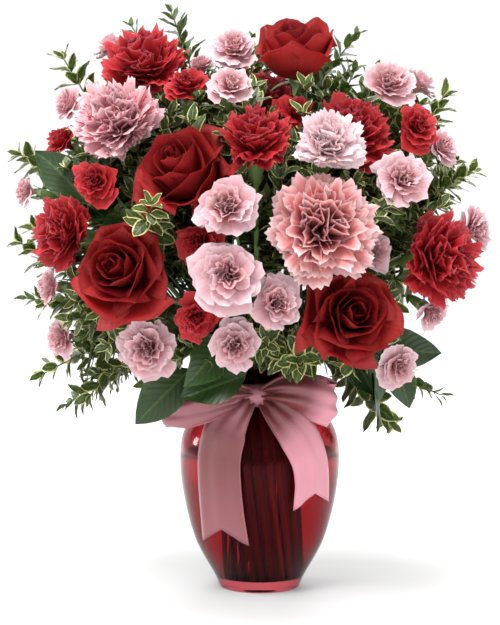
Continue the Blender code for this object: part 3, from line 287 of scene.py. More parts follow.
# The rose that is still a tall cup, the carnation streaked with crimson, and the very pale carnation.
UPRIGHT = "rose_top"
STREAKED = "pink_carnation_left"
PALE = "pink_carnation_pale"


# Small vector helpers.


def unit(vectors: Array) -> Array:
    """Vectors scaled to length one."""
    return vectors / np.maximum(np.linalg.norm(vectors, axis=-1, keepdims=True), 1e-12)


def aim(azimuth: float, elevation: float) -> Array:
    """The direction that looks out at an azimuth (0 is the front, 90 the right) and an elevation."""
    a, e = math.radians(azimuth), math.radians(elevation)
    return np.array([math.sin(a) * math.cos(e), -math.cos(a) * math.cos(e), math.sin(e)])


def on_dome(across: float, up: float, set_back: float | None) -> Array:
    """A point of the dome, given as it is seen from the front.

    The dome is an ellipsoid: its swell is the square root of one less the squares of the point's shares
    of the half width and the half height, and its depth there is the full depth times the swell.

    Args:
        across: sideways from the middle, in mm.
        up: height above the floor, in mm.
        set_back: how far behind the dome's front, in mm, or None for a point on its back.

    Returns:
        The point in metres.
    """
    x, z = across * MM, up * MM
    inside = 1.0 - (x / DOME_HALF_WIDTH) ** 2 - ((z - DOME_HEIGHT) / DOME_HALF_HEIGHT) ** 2
    swell = math.sqrt(max(inside, LEAST_SWELL))
    if set_back is None:
        return np.array([x, BACK_DEPTH * swell, z])
    y = set_back * MM - DOME_DEPTH * swell
    nearer = (VIEW_DISTANCE + y) / VIEW_DISTANCE
    return np.array([x * nearer, y, EYE_HEIGHT + (z - EYE_HEIGHT) * nearer])


def outward(point: Array) -> Array:
    """The dome's outward normal at a point."""
    sizes = np.array([DOME_HALF_WIDTH, DOME_DEPTH, DOME_HALF_HEIGHT])
    return unit((point - np.array([0.0, 0.0, DOME_HEIGHT])) / sizes ** 2)


def across_axes(direction: Array) -> tuple[Array, Array]:
    """Two unit vectors square to a direction (or to each of several) and to each other."""
    aside = unit(np.cross(direction, [0.0, 0.0, 1.0]) + np.array([1e-9, 0.0, 0.0]))
    return aside, np.cross(direction, aside)


def smooth_line(points: Array, steps: int) -> Array:
    """A Catmull-Rom curve through points.

    Args:
        points: the points, (count, values).
        steps: stations from one point to the next.

    Returns:
        The stations, from the first point to the last.
    """
    padded = np.vstack([2 * points[0] - points[1], points, 2 * points[-1] - points[-2]])
    t = np.linspace(0.0, 1.0, steps, endpoint=False)[None, :, None]
    p0, p1, p2, p3 = (padded[i:len(padded) - 3 + i][:, None, :] for i in range(4))
    run = 0.5 * (2 * p1 + (p2 - p0) * t + (2 * p0 - 5 * p1 + 4 * p2 - p3) * t ** 2
                 + (3 * p1 - p0 - 3 * p2 + p3) * t ** 3)
    return np.vstack([run.reshape(-1, points.shape[1]), points[-1:]])


def bend(start: Array, start_way: Array, end: Array, end_way: Array) -> Array:
    """A cubic Bezier curve whose handles are a fixed share of the distance between its ends.

    Args:
        start: where it starts.
        start_way: the way in which it leaves.
        end: where it ends.
        end_way: the way in which it arrives.

    Returns:
        The curve's stations.
    """
    length = np.linalg.norm(end - start)
    b, c = start + unit(start_way) * BEND_PULL * length, end - unit(end_way) * BEND_PULL * length
    t = np.linspace(0.0, 1.0, PATH_SAMPLES)[:, None]
    return start * (1 - t) ** 3 + 3 * b * t * (1 - t) ** 2 + 3 * c * t ** 2 * (1 - t) + end * t ** 3


def run_length(line: Array) -> Array:
    """How far along a line each of its points lies."""
    return np.concatenate([[0.0], np.cumsum(np.linalg.norm(np.diff(line, axis=0), axis=1))])


def read_rows(at: Array, stations: Array, rows: Array) -> Array:
    """The three values of rows, which stand at the stations, read in between."""
    return np.stack([np.interp(at, stations, rows[:, i]) for i in range(3)], axis=1)


def vase_radius(height: Array) -> Array:
    """The vase's outer radius at a height."""
    rows = VASE_OUTER[::-1]
    return np.interp(height, rows[:, 1], rows[:, 0])


# Where every head and stem goes.


@dataclass
class Head:
    """One flower head: its place, where it looks and its size."""

    plant: str
    kind: Kind
    target: Array
    facing: Array
    radius: float
    centre: Array = field(default_factory=lambda: np.zeros(3))
    base: Array = field(default_factory=lambda: np.zeros(3))
    foot: Array = field(default_factory=lambda: np.zeros(3))


@dataclass
class Path:
    """The course of one stem or twig above the vase, and which of its points its line runs through."""

    plant: str
    points: Array
    radius: float
    picks: list[int]


@dataclass
class Plant:
    """One plant: its kind, colour, heads or twig tips, its place in the bundle and its stems."""

    kind: Kind
    colour: str
    heads: list[int] = field(default_factory=list)
    ends: list[Array] = field(default_factory=list)
    ways: list[Array] = field(default_factory=list)
    place: Array = field(default_factory=lambda: np.zeros(2))
    paths: list[int] = field(default_factory=list)


@dataclass
class Layout:
    """Where every head, stem and twig of the bouquet goes."""

    heads: list[Head] = field(default_factory=list)
    plants: dict[str, Plant] = field(default_factory=dict)
    paths: list[Path] = field(default_factory=list)

    def arrange(self) -> None:
        """Works the whole layout out: heads pressed together, then stems bent clear of each other."""
        self.read_flowers()
        self.relax_heads()
        self.read_sprigs()
        self.lay_paths()
        self.relax_paths(False)
        self.relax_paths(True)

    def read_flowers(self) -> None:
        """Turns the tables of flowers into heads and plants."""
        tables = [
            (ROSES, Kind.ROSE, "rose"), (RED_CARNATIONS, Kind.CARNATION, "red"),
            (PINK_CARNATIONS, Kind.CARNATION, "pink"), (PINK_SPRAYS, Kind.MINI, "pink"),
            (RED_SPRAYS, Kind.MINI, "red"),
        ]
        for table, kind, colour in tables:
            for name, rows in table.items():
                self.plants[name] = Plant(kind, colour)
                for across, up, set_back, width, look in rows:
                    centre = on_dome(across, up, set_back)
                    facing = aim(*look) if look else outward(centre)
                    self.plants[name].heads.append(len(self.heads))
                    self.heads.append(Head(name, kind, centre, facing, 0.5 * width * MM))

    def read_sprigs(self) -> None:
        """Adds the greenery's twigs, which end on the dome and droop a little."""
        for name, (_, tips) in SPRIGS.items():
            ends = [on_dome(*tip) for tip in tips]
            ways = [unit(outward(e) + np.array([0.0, 0.0, -0.2])) for e in ends]
            self.plants[name] = Plant(Kind.SPRIG, "leaf", ends=ends, ways=ways)

    def relax_heads(self) -> None:
        """Moves the heads apart, mostly in depth, until their blooms only press lightly on each other."""
        heads = self.heads
        target = np.array([h.target for h in heads])
        facing = np.array([h.facing for h in heads])
        radius = np.array([h.radius for h in heads])
        calyx = np.array([CALYX_LENGTH[h.kind] for h in heads])
        mouth = np.array([CALYX_MOUTH[h.kind] for h in heads])
        owner = np.concatenate([np.arange(len(heads))] * 3)
        reach = np.concatenate([BLOOM_FIRMNESS * radius, mouth + CALYX_ROOM[0], mouth + CALYX_ROOM[1]])
        behind = np.concatenate(
            [0.0 * radius, BLOOM_MIDDLE * radius + 0.3 * calyx, BLOOM_MIDDLE * radius + calyx])
        ease = np.array(GIVE_WAY)
        centre = target.copy()
        for _ in range(HEAD_ROUNDS):
            balls = centre[owner] - facing[owner] * behind[:, None]
            apart = balls[:, None, :] - balls[None, :, :]
            distance = np.linalg.norm(apart, axis=2) + 1e-9
            overlap = reach[:, None] + reach[None, :] - distance
            overlap[owner[:, None] == owner[None, :]] = 0.0
            push = np.maximum(overlap, 0.0)[:, :, None] * apart / distance[:, :, None]
            move = np.zeros_like(centre)
            np.add.at(move, owner, HEAD_PUSH * push.sum(axis=1))
            centre += move * ease + HEAD_PULL * (target - centre)
        for head, place in zip(heads, centre):
            head.centre = place
            head.base = place - head.facing * BLOOM_MIDDLE * head.radius
            head.foot = head.base - head.facing * CALYX_LENGTH[head.kind]

    @staticmethod
    def bundle_places(ends: list[Array]) -> Array:
        """A place in the bundle for each stem, pushed apart until they are evenly spaced.

        Args:
            ends: where each stem's flowers or twigs end, whose order round the vase is kept.

        Returns:
            The places in the unit disc.
        """
        flat = np.array(ends)[:, :2]
        places = flat / np.abs(flat).max() * BUNDLE_SPREAD
        for _ in range(BUNDLE_ROUNDS):
            apart = places[:, None, :] - places[None, :, :]
            distance = np.linalg.norm(apart, axis=2) + 1e-9
            np.fill_diagonal(distance, np.inf)
            overlap = np.maximum(BUNDLE_SPACING * BUNDLE_SLACK - distance, 0.0)
            push = overlap[:, :, None] * apart / distance[:, :, None]
            places = places + BUNDLE_PUSH * push.sum(axis=1)
            size = np.linalg.norm(places, axis=1, keepdims=True)
            places = np.where(size > 1.0, places / size, places)
        return places

    @staticmethod
    def bundle_point(place: Array, height: float) -> Array:
        """Where a stem is at a height in the vase: the stems lean like a twisted sheaf.

        Args:
            place: the stem's place in the unit disc.
            height: in metres.

        Returns:
            The point on the stem's middle line.
        """
        share = (height - FLOOR_HEIGHT) / (BUNDLE_TOP - FLOOR_HEIGHT)
        c, s = math.cos(BUNDLE_TWIST), math.sin(BUNDLE_TWIST)
        low, high = np.array([[c, -s], [s, c]]) @ place * FLOOR_BUNDLE, place * NECK_BUNDLE
        return np.array([*(low + (high - low) * share), height])

    def lay_paths(self) -> None:
        """Lays the course of every stem and twig above the vase."""
        ends = []
        for plant in self.plants.values():
            if plant.heads:
                plant.ends = [self.heads[i].foot for i in plant.heads]
                plant.ways = [self.heads[i].facing for i in plant.heads]
            ends.append(np.mean(plant.ends, axis=0))
        places = self.bundle_places(ends)
        for (name, plant), place, end in zip(self.plants.items(), places, ends):
            plant.place = place
            start = self.bundle_point(place, BUNDLE_TOP)
            lean = start - self.bundle_point(place, BUNDLE_TOP - LEAN_RUN)
            aside = unit(end - start) * np.array([1.0, 1.0, 0.0])
            leave = unit(unit(lean) + LEAVE_OUT * aside + np.array([0.0, 0.0, LEAVE_UP]))
            radius = STEM_RADIUS[plant.kind]
            fork = start + (end - start) * FORK_SHARE + np.array([0.0, 0.0, FORK_RISE])
            if len(plant.ends) == 1:
                courses = [(bend(start, leave, plant.ends[0], plant.ways[0]), radius, STEM_PICKS)]
            else:
                courses = [(bend(start, leave, fork, unit(end - start)), radius, STEM_PICKS)]
                for tip, way in zip(plant.ends, plant.ways):
                    first = unit(unit(end - start) + FORK_SPREAD * unit(tip - fork))
                    picks = BRANCH_PICKS if plant.heads else TWIG_PICKS
                    courses.append((bend(fork, first, tip, way), TWIG_RADIUS, picks))
            for course, size, picks in courses:
                plant.paths.append(len(self.paths))
                self.paths.append(Path(name, course, size, picks))

    def balls(self, numbers: dict[str, int]) -> tuple[Array, Array, Array]:
        """What the stems keep clear of, as balls: each bloom, each calyx and the bow.

        Args:
            numbers: a number for each plant.

        Returns:
            The balls' middles, their radii and their plants' numbers, which is -1 for the bow.
        """
        heads = self.heads
        bow = np.array(BOW_ROOM) * MM
        middles = np.concatenate([
            [h.centre for h in heads], [h.base - 0.5 * (h.base - h.foot) for h in heads], bow[:, :3]])
        radii = np.concatenate([
            [BLOOM_BALL * h.radius for h in heads], [CALYX_BALL * CALYX_LENGTH[h.kind] for h in heads],
            bow[:, 3]])
        plants = [numbers[h.plant] for h in heads]
        return middles, radii, np.array([*plants, *plants, *[-1] * len(bow)])

    def relax_paths(self, straight: bool) -> None:
        """Bends the stems clear of each other, of the blooms and of the vase's lip.

        Args:
            straight: lays each path first on the straight runs between its picks, and moves only these.
        """
        paths = self.paths
        points = np.array([p.points for p in paths])
        if straight:
            steps = np.arange(PATH_SAMPLES)
            weights = [
                np.stack([np.interp(steps, p.picks, row) for row in np.eye(len(p.picks))], axis=1)
                for p in paths]
            points = np.array([w @ line[p.picks] for w, line, p in zip(weights, points, paths)])
            inner = [w[:, 1:-1] for w in weights]
            settle = np.array([w @ np.linalg.pinv(w) for w in inner])
        count, samples = points.shape[:2]
        radius = np.repeat([p.radius for p in paths], samples)
        numbers = {p.plant: i for i, p in enumerate(paths)}
        plant = np.repeat([numbers[p.plant] for p in paths], samples)
        middles, sizes, owners = self.balls(numbers)
        for turn in range(STRAIGHT_ROUNDS if straight else SMOOTH_ROUNDS):
            flat = points.reshape(-1, 3)
            if turn % LOOK_AGAIN == 0:
                near = np.linalg.norm(flat[:, None, :] - flat[None, :, :], axis=2) < STEM_NEAR
                near &= plant[:, None] != plant[None, :]
                one, other = np.nonzero(np.triu(near))
                close = np.linalg.norm(flat[:, None, :] - middles[None, :, :], axis=2) < sizes + BALL_NEAR
                close &= plant[:, None] != owners[None, :]
                spot, ball = np.nonzero(close)
            move = np.zeros_like(flat)
            apart = flat[one] - flat[other]
            distance = np.linalg.norm(apart, axis=1) + 1e-9
            overlap = np.maximum(radius[one] + radius[other] + STEM_CLEARANCE - distance, 0.0)
            push = STEM_PUSH * (overlap / distance)[:, None] * apart
            np.add.at(move, one, push)
            np.add.at(move, other, -push)
            away = flat[spot] - middles[ball]
            reach = np.linalg.norm(away, axis=1) + 1e-9
            overlap = np.maximum(radius[spot] + sizes[ball] + BALL_ROOM - reach, 0.0)
            np.add.at(move, spot, BALL_PUSH * (overlap / reach)[:, None] * away)
            across = np.linalg.norm(flat[:, :2], axis=1)
            over_lip = (across > NECK_BUNDLE) * (across < LIP_ROOM)
            low = np.maximum(BUNDLE_TOP + LIP_RISE - flat[:, 2], 0.0) * over_lip
            move[:, 2] += LIP_PUSH * low
            move = move.reshape(count, samples, 3)
            move[:, [0, -1]] = 0.0
            if straight:
                points = points + STRAIGHT_PUSH * settle @ move
                continue
            points = points + move
            smoother = 0.5 * (points[:, :-2] + points[:, 2:]) - points[:, 1:-1]
            points[:, 1:-1] += SMOOTHING * smoother
        for path, line in zip(paths, points):
            path.points = line

    def stem_line(self, name: str) -> Array:
        """A plant's main stem, from the vase's floor to its fork or its head.

        Args:
            name: the plant's name.

        Returns:
            The stem as a smooth line.
        """
        plant = self.plants[name]
        foot = self.bundle_point(plant.place, FLOOR_HEIGHT + STEM_FOOT_GAP)
        line = self.paths[plant.paths[0]].points[STEM_PICKS]
        return np.vstack([foot[None], smooth_line(line, LINE_STEPS)])

    def branch_line(self, number: int) -> Array:
        """A branch or twig as a smooth line."""
        path = self.paths[number]
        return smooth_line(path.points[path.picks], LINE_STEPS)

    def fork(self, name: str) -> Array:
        """Where a plant's main stem ends and its branches or twigs start."""
        return self.paths[self.plants[name].paths[0]].points[-1]

    def neighbours(self, index: int) -> list[tuple[Array, float]]:
        """The balls that a head's bloom is pressed against: all the other heads' blooms."""
        return [(h.centre, BLOOM_REACH[h.kind] * h.radius) for i, h in enumerate(self.heads) if i != index]


# Sheets, tubes and turned pieces.


@dataclass
class Mesh:
    """A mesh in the making: corners, faces of four, and a value per corner for each painted attribute."""

    vertices: Array
    faces: Array
    paint: dict[str, Array]

    @staticmethod
    def joined(parts: list["Mesh"]) -> "Mesh":
        """One mesh of several.

        Args:
            parts: the meshes, all with the same attributes.

        Returns:
            The mesh of them all.
        """
        starts = np.cumsum([0] + [len(p.vertices) for p in parts[:-1]])
        return Mesh(
            np.concatenate([p.vertices for p in parts]),
            np.concatenate([p.faces + s for p, s in zip(parts, starts)]),
            {k: np.concatenate([p.paint[k] for p in parts]) for k in parts[0].paint})


def shells(grids: Array, thickness: float, paint: Paint, wall: bool = False) -> Mesh:
    """Closes each open sheet of a stack into a thin solid.

    The front is the sheet moved half its thickness along its normal, the back is the same moved the
    other way. They thin out to a shared rim, as a petal or a leaf does, or a row of faces as high as
    the thickness joins them, as on cloth. Columns run along u, rows along v, the normal is du x dv.

    Args:
        grids: corners as (sheets, rows, columns, 3).
        thickness: how thick the sheets are.
        paint: attributes, as numbers or as arrays that broadcast to (sheets, rows, columns).
        wall: whether the rim is a row of faces.

    Returns:
        The closed shells as one mesh.
    """
    sheets, rows, columns, _ = grids.shape
    normal = unit(np.cross(np.gradient(grids, axis=2), np.gradient(grids, axis=1)))
    size = rows * columns
    index = np.arange(size).reshape(rows, columns)
    own = np.ones(size, bool) if wall else np.pad(np.ones((rows - 2, columns - 2), bool), 1).reshape(-1)
    lift = 0.5 * thickness * (normal.reshape(sheets, size, 3) * own[:, None])
    flat = grids.reshape(sheets, size, 3)
    vertices = np.concatenate([flat + lift, (flat - lift)[:, own]], axis=1)
    behind = np.where(own, size + np.cumsum(own) - 1, np.arange(size))
    front = np.stack([index[:-1, :-1], index[:-1, 1:], index[1:, 1:], index[1:, :-1]], axis=-1).reshape(-1, 4)
    pattern = [front, behind[front[:, ::-1]]]
    if wall:
        ring = np.concatenate([index[0, :-1], index[:-1, -1], index[-1, :0:-1], index[:0:-1, 0]])
        after = np.roll(ring, -1)
        pattern.append(np.stack([after, ring, behind[ring], behind[after]], axis=1))
    start = np.arange(sheets) * (size + own.sum())
    faces = (np.concatenate(pattern)[None] + start[:, None, None]).reshape(-1, 4)
    painted = {}
    for name, values in paint.items():
        value = np.broadcast_to(values, grids.shape[:3]).reshape(sheets, size)
        painted[name] = np.concatenate([value, value[:, own]], axis=1).reshape(-1)
    return Mesh(vertices.reshape(-1, 3), faces, painted)


def hoops(count: int, sides: int) -> tuple[Array, Array]:
    """Rings of corners, each joined to the next.

    Args:
        count: how many rings there are.
        sides: corners of each ring.

    Returns:
        The corners' numbers as (rings, sides), and the faces between the rings.
    """
    index = np.arange(count * sides).reshape(count, sides)
    after = np.roll(index, -1, axis=1)
    return index, np.stack([index[:-1], after[:-1], after[1:], index[1:]], axis=-1).reshape(-1, 4)


def fan(ring: Array) -> Array:
    """A ring of an even number of corners, filled with faces of four that share its first corner."""
    return np.stack([ring[:1].repeat(len(ring) // 2 - 1), ring[1:-1:2], ring[2::2], ring[3::2]], axis=1)


def tube(points: Array, radii: Array | float, sides: int, paint: Paint) -> Mesh:
    """A round stem: rings square to the line's direction, closed at both ends by rings drawn to a point.

    Args:
        points: the line as (stations, 3).
        radii: one radius, or one for each station.
        sides: corners of each ring, an even number.
        paint: attributes, one value or one for each station.

    Returns:
        The stem as a closed mesh.
    """
    radii = np.broadcast_to(radii, len(points)).astype(float)
    aside, upward = across_axes(unit(np.gradient(points, axis=0)))
    angle = np.arange(sides) / sides * 2 * math.pi
    spoke = aside[:, None] * np.cos(angle)[None, :, None] + upward[:, None] * np.sin(angle)[None, :, None]
    tip = TIP_SHARE * radii[[0, -1]]
    rings = np.concatenate([
        points[None, :1] + spoke[:1] * tip[0], points[:, None] + spoke * radii[:, None, None],
        points[None, -1:] + spoke[-1:] * tip[1]])
    index, faces = hoops(len(rings), sides)
    painted = {}
    for name, values in paint.items():
        along = np.broadcast_to(values, len(points)).astype(float)
        painted[name] = np.repeat(np.concatenate([along[:1], along, along[-1:]]), sides)
    return Mesh(rings.reshape(-1, 3), np.concatenate([faces, fan(index[0, ::-1]), fan(index[-1])]), painted)


def lathe(profile: Array, sides: int) -> Mesh:
    """A turned solid: the profile of (radius, height), from axis to axis, is swept round the Z axis.

    Args:
        profile: (stations, 2), counter-clockwise as seen with the axis on the left.
        sides: how many times the profile is repeated round the axis.

    Returns:
        The mesh; the first and last stations lie on the axis and are drawn to a tiny ring.
    """
    angle = np.arange(sides) / sides * 2 * math.pi
    radius = np.maximum(profile[:, 0], AXIS_RING)
    rings = np.stack([
        radius[:, None] * np.cos(angle), radius[:, None] * np.sin(angle),
        np.repeat(profile[:, 1:2], sides, axis=1)], axis=-1)
    return Mesh(rings.reshape(-1, 3), hoops(len(profile), sides)[1], {})


def weld(data: bpy.types.Mesh, reach: float) -> None:
    """Makes the corners that nearly coincide one, and turns all faces outward.

    Args:
        data: the mesh.
        reach: corners closer than this are made one.
    """
    edit = bmesh.new()
    edit.from_mesh(data)
    bmesh.ops.remove_doubles(edit, verts=edit.verts, dist=reach)
    bmesh.ops.recalc_face_normals(edit, faces=edit.faces)
    edit.to_mesh(data)
    edit.free()


def dress(name: str, mesh: Mesh, finish: "Finish", node: str,
          turned: bool = False) -> bpy.types.Object:
    """Makes a piece of a mesh, gives it its finish and puts it in the place of its solid.

    Args:
        name: the piece's name.
        mesh: its corners, faces and attributes.
        finish: its material.
        node: the solid that it stands for.
        turned: whether it is a lathe's mesh, whose rings on the axis are welded to a point.

    Returns:
        The new object.
    """
    data = bpy.data.meshes.new(name)
    data.from_pydata(mesh.vertices, [], mesh.faces.tolist())
    for key, values in mesh.paint.items():
        layer = data.attributes.new(key, "FLOAT", "POINT")
        layer.data.foreach_set("value", np.ascontiguousarray(values, dtype=np.float32))
    data.validate()
    if turned:
        weld(data, WELD_REACH)
    data.shade_smooth()
    data.set_sharp_from_angle(angle=SHARP_EDGE)
    data.materials.append(finish.material())
    piece = bpy.data.objects.new(name, data)
    bpy.context.scene.collection.objects.link(piece)
    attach(piece, "root")
    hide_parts(node)
    LOG.info("%s: %d faces", name, len(data.polygons))
    return piece


# Finishes.


@dataclass
class Nodes:
    """The nodes of one material in the making, round its Principled shader."""

    tree: bpy.types.NodeTree
    shader: bpy.types.Node

    def feed(self, socket: Socket, value: Socket | Colour | float) -> None:
        """Links a socket to another one, or sets it to a colour or a number.

        Args:
            socket: the socket that takes the value.
            value: a socket, a colour or a number.
        """
        if isinstance(value, Socket):
            self.tree.links.new(value, socket)
        else:
            socket.default_value = (*value, 1.0) if isinstance(value, tuple) else value

    def attribute(self, name: str) -> Socket:
        """The value of a painted attribute.

        Args:
            name: the attribute's name.

        Returns:
            The value's socket.
        """
        node = self.tree.nodes.new("ShaderNodeAttribute")
        node.attribute_name = name
        return node.outputs["Fac"]

    def ramp(self, value: Socket, *stops: tuple[float, Colour]) -> Socket:
        """A colour ramp over a value.

        Args:
            value: what the ramp is read at.
            *stops: (position, colour) pairs, from the lowest position to the highest.

        Returns:
            The ramp's colour.
        """
        node = self.tree.nodes.new("ShaderNodeValToRGB")
        elements = node.color_ramp.elements
        elements[0].position, elements[1].position = stops[0][0], stops[-1][0]
        for position, _ in stops[1:-1]:
            elements.new(position)
        for element, (_, colour) in zip(elements, stops):
            element.color = (*colour, 1.0)
        self.feed(node.inputs["Fac"], value)
        return node.outputs["Color"]

    def mixed(self, share: Socket | float, one: Socket | Colour, other: Socket | Colour) -> Socket:
        """Two colours mixed.

        Args:
            share: how much of the other colour shows.
            one: a colour or a socket.
            other: a colour or a socket.

        Returns:
            The mixed colour.
        """
        node = self.tree.nodes.new("ShaderNodeMix")
        node.data_type = "RGBA"
        for number, value in ((0, share), (6, one), (7, other)):
            self.feed(node.inputs[number], value)
        return node.outputs[2]

    def maths(self, operation: str, one: Socket | float, other: Socket | float = 0.0) -> Socket:
        """The result of one operation on two values.

        Args:
            operation: the Math node's name for it.
            one: a number or a socket.
            other: a number or a socket.

        Returns:
            The result's socket.
        """
        node = self.tree.nodes.new("ShaderNodeMath")
        node.operation = operation
        self.feed(node.inputs[0], one)
        self.feed(node.inputs[1], other)
        return node.outputs[0]

    def times(self, one: Socket | float, other: Socket | float) -> Socket:
        """The product of two values."""
        return self.maths("MULTIPLY", one, other)

    def noise(self, scale: float, detail: float = 2.0, stretch: Place = (1.0, 1.0, 1.0)) -> Socket:
        """Noise over the object's own coordinates.

        Args:
            scale: how fine it is, per metre.
            detail: how many finer layers it has.
            stretch: factors along the three axes.

        Returns:
            The noise's value, from 0 to 1.
        """
        place = self.tree.nodes.new("ShaderNodeTexCoord")
        turn = self.tree.nodes.new("ShaderNodeMapping")
        turn.inputs["Scale"].default_value = stretch
        node = self.tree.nodes.new("ShaderNodeTexNoise")
        self.feed(node.inputs["Scale"], scale)
        self.feed(node.inputs["Detail"], detail)
        self.feed(turn.inputs["Vector"], place.outputs["Object"])
        self.feed(node.inputs["Vector"], turn.outputs["Vector"])
        return node.outputs["Fac"]

    def bump(self, height: Socket, strength: float, distance: float) -> None:
        """Lets a height roughen the surface.

        Args:
            height: the height, as a share of the distance.
            strength: how much of it shows.
            distance: how high a height of one is, in metres.
        """
        node = self.tree.nodes.new("ShaderNodeBump")
        self.feed(node.inputs["Strength"], strength)
        self.feed(node.inputs["Distance"], distance)
        self.feed(node.inputs["Height"], height)
        self.feed(self.shader.inputs["Normal"], node.outputs["Normal"])

    def shade(self, colour: Socket, **sockets: Colour | float) -> None:
        """Sets the shader's own sockets.

        Args:
            colour: the base colour, worked out by nodes.
            **sockets: constants by the sockets' names, with _ for each space.
        """
        self.feed(self.shader.inputs["Base Color"], colour)
        for name, value in sockets.items():
            self.feed(self.shader.inputs[name.replace("_", " ")], value)


@dataclass(frozen=True)
class Finish:
    """A material: a Principled shader with constant sockets and a procedural pattern."""

    name: str
    roughness: float

    def material(self) -> bpy.types.Material:
        """The material, made on first use.

        Returns:
            The one material of this finish.
        """
        made = bpy.data.materials.get(self.name)
        if made:
            return made
        made = bpy.data.materials.new(self.name)
        made.use_nodes = True
        shader = made.node_tree.nodes["Principled BSDF"]
        shader.inputs["Roughness"].default_value = self.roughness
        self.paint(Nodes(made.node_tree, shader))
        return made

    def paint(self, nodes: Nodes) -> None:
        """Adds the finish's own colours and pattern; each kind of finish has its own."""
        raise NotImplementedError


@dataclass(frozen=True)
class PetalFinish(Finish):
    """Petals: a ramp from the throat to the edge, painted shade that is deepest on the inner petals, fine
    veins along them and a soft velvety sheen.
    """

    stops: tuple[tuple[float, Colour], ...]
    # shade is the colour of the painted shade, and shading how much of it the tones bring.
    shade: Colour
    shading: float
    streak: Colour | None = None
    sheen: float = 0.1
    glow: float = 0.15
    glow_radius: Colour = (0.012, 0.004, 0.004)
    veins: float = 38.0

    def paint(self, nodes: Nodes) -> None:
        """Colour runs along the petal, each petal gets painted shade by the tones, most on the inner petals
        and some at random, and veins fan out to the edge.

        Streaks show where the veins' sine and a fine noise are both high.

        Args:
            nodes: the material's nodes.
        """
        along = nodes.attribute("along")
        colour = nodes.ramp(along, *self.stops)
        # Painted shade: the tones mix in the shade colour, most on the inner petals.
        colour = nodes.mixed(nodes.times(nodes.attribute("tone_and_shade"), self.shading), colour, self.shade)
        veins = nodes.maths("SINE", nodes.times(nodes.attribute("across"), self.veins))
        if self.streak:
            spots = nodes.maths("GREATER_THAN", nodes.noise(170.0, 3.0), 0.56)
            lines = nodes.maths("GREATER_THAN", veins, 0.15)
            colour = nodes.mixed(nodes.times(nodes.times(spots, lines), 0.85), colour, self.streak)
        colour = nodes.mixed(nodes.times(nodes.noise(60.0), 0.35), colour, self.shade)
        nodes.shade(
            colour, Sheen_Weight=self.sheen, Sheen_Roughness=0.4, Sheen_Tint=self.stops[-1][1],
            Specular_IOR_Level=0.25, Subsurface_Weight=self.glow, Subsurface_Scale=0.3)
        nodes.shader.inputs["Subsurface Radius"].default_value = self.glow_radius
        nodes.bump(nodes.times(veins, along), 0.25, 0.4 * MM)


@dataclass(frozen=True)
class LeafFinish(Finish):
    """Leaves: a green face with a pale midrib and side veins, and a cream margin on the variegated one."""

    face: Colour
    dark: Colour
    veins: float
    rib: Colour = (0.16, 0.28, 0.10)
    margin: Colour | None = None
    glow_radius: Colour = (0.004, 0.006, 0.002)

    def paint(self, nodes: Nodes) -> None:
        """Veins slant from the midrib: sine of along plus distance from the rib; margins are blotched.

        Args:
            nodes: the material's nodes.
        """
        across = nodes.maths("ABSOLUTE", nodes.attribute("across"))
        # The tones on leaves are at random per leaf and are no shade.
        colour = nodes.mixed(nodes.times(nodes.attribute("tone_and_shade"), 0.75), self.face, self.dark)
        colour = nodes.mixed(nodes.times(nodes.noise(90.0, 3.0), 0.5), colour, self.dark)
        slant = nodes.times(nodes.attribute("along"), -self.veins)
        wave = nodes.maths("SINE", nodes.maths("ADD", slant, nodes.times(across, 0.3 * self.veins)))
        side_veins = nodes.times(nodes.maths("GREATER_THAN", wave, 0.93), 0.35)
        midrib = nodes.times(nodes.maths("LESS_THAN", across, 0.07), 0.7)
        colour = nodes.mixed(midrib, nodes.mixed(side_veins, colour, self.rib), self.rib)
        if self.margin:
            edge = nodes.maths("ADD", across, nodes.times(nodes.noise(260.0, 1.0), 0.4))
            rim = nodes.ramp(edge, (0.94, (0.0, 0.0, 0.0)), (1.0, (1.0, 1.0, 1.0)))
            colour = nodes.mixed(rim, colour, self.margin)
        nodes.shade(colour, Specular_IOR_Level=0.45, Subsurface_Weight=0.08, Subsurface_Scale=0.3)
        nodes.shader.inputs["Subsurface Radius"].default_value = self.glow_radius
        nodes.bump(wave, 0.2, 0.3 * MM)


@dataclass(frozen=True)
class StemFinish(Finish):
    """Stems and calyxes: pale or brown under water, green above, with long streaks. The pale is near white,
    partly the stems' own colour and partly painted light that brightens them behind the glass.
    """

    low: Colour
    brown: Colour
    high: Colour
    streak: Colour = (0.09, 0.14, 0.04)

    def paint(self, nodes: Nodes) -> None:
        """Colour follows the height along the stem, with stretched noise as streaks.

        Args:
            nodes: the material's nodes.
        """
        streaks = nodes.noise(240.0, 2.0, (1.0, 1.0, 0.12))
        # Painted light in part: the near-white low colour brightens the pale stems under water; the tones
        # pick pale or brown at random per stem.
        aged = nodes.ramp(nodes.attribute("tone_and_shade"), (0.35, self.low), (0.6, self.brown))
        colour = nodes.mixed(nodes.attribute("along"), aged, self.high)
        nodes.shade(nodes.mixed(nodes.times(streaks, 0.6), colour, self.streak), Specular_IOR_Level=0.4)
        nodes.bump(streaks, 0.15, 0.3 * MM)


@dataclass(frozen=True)
class GlassFinish(Finish):
    """Clear coloured glass or water: its tint seen square on, and its colour where it is seen edge on."""

    tint: Colour
    ior: float
    edge: Colour | None = None
    gloss: Colour = (1.0, 1.0, 1.0)
    ripple: float = 0.0

    def paint(self, nodes: Nodes) -> None:
        """Light passes through and is tinted; slow noise stands for the uneven hand-blown wall.

        Args:
            nodes: the material's nodes.
        """
        waves = nodes.noise(30.0, 1.0)
        deep = tuple(0.8 * c for c in self.tint)
        colour = nodes.mixed(nodes.times(waves, 0.4), self.tint, deep)
        if self.edge:
            facing = nodes.tree.nodes.new("ShaderNodeLayerWeight")
            share = nodes.maths("POWER", facing.outputs["Facing"], 1.4)
            colour = nodes.mixed(share, colour, self.edge)
        nodes.shade(colour, Transmission_Weight=1.0, IOR=self.ior, Specular_Tint=self.gloss)
        if self.ripple:
            nodes.bump(waves, self.ripple, 2.0 * MM)


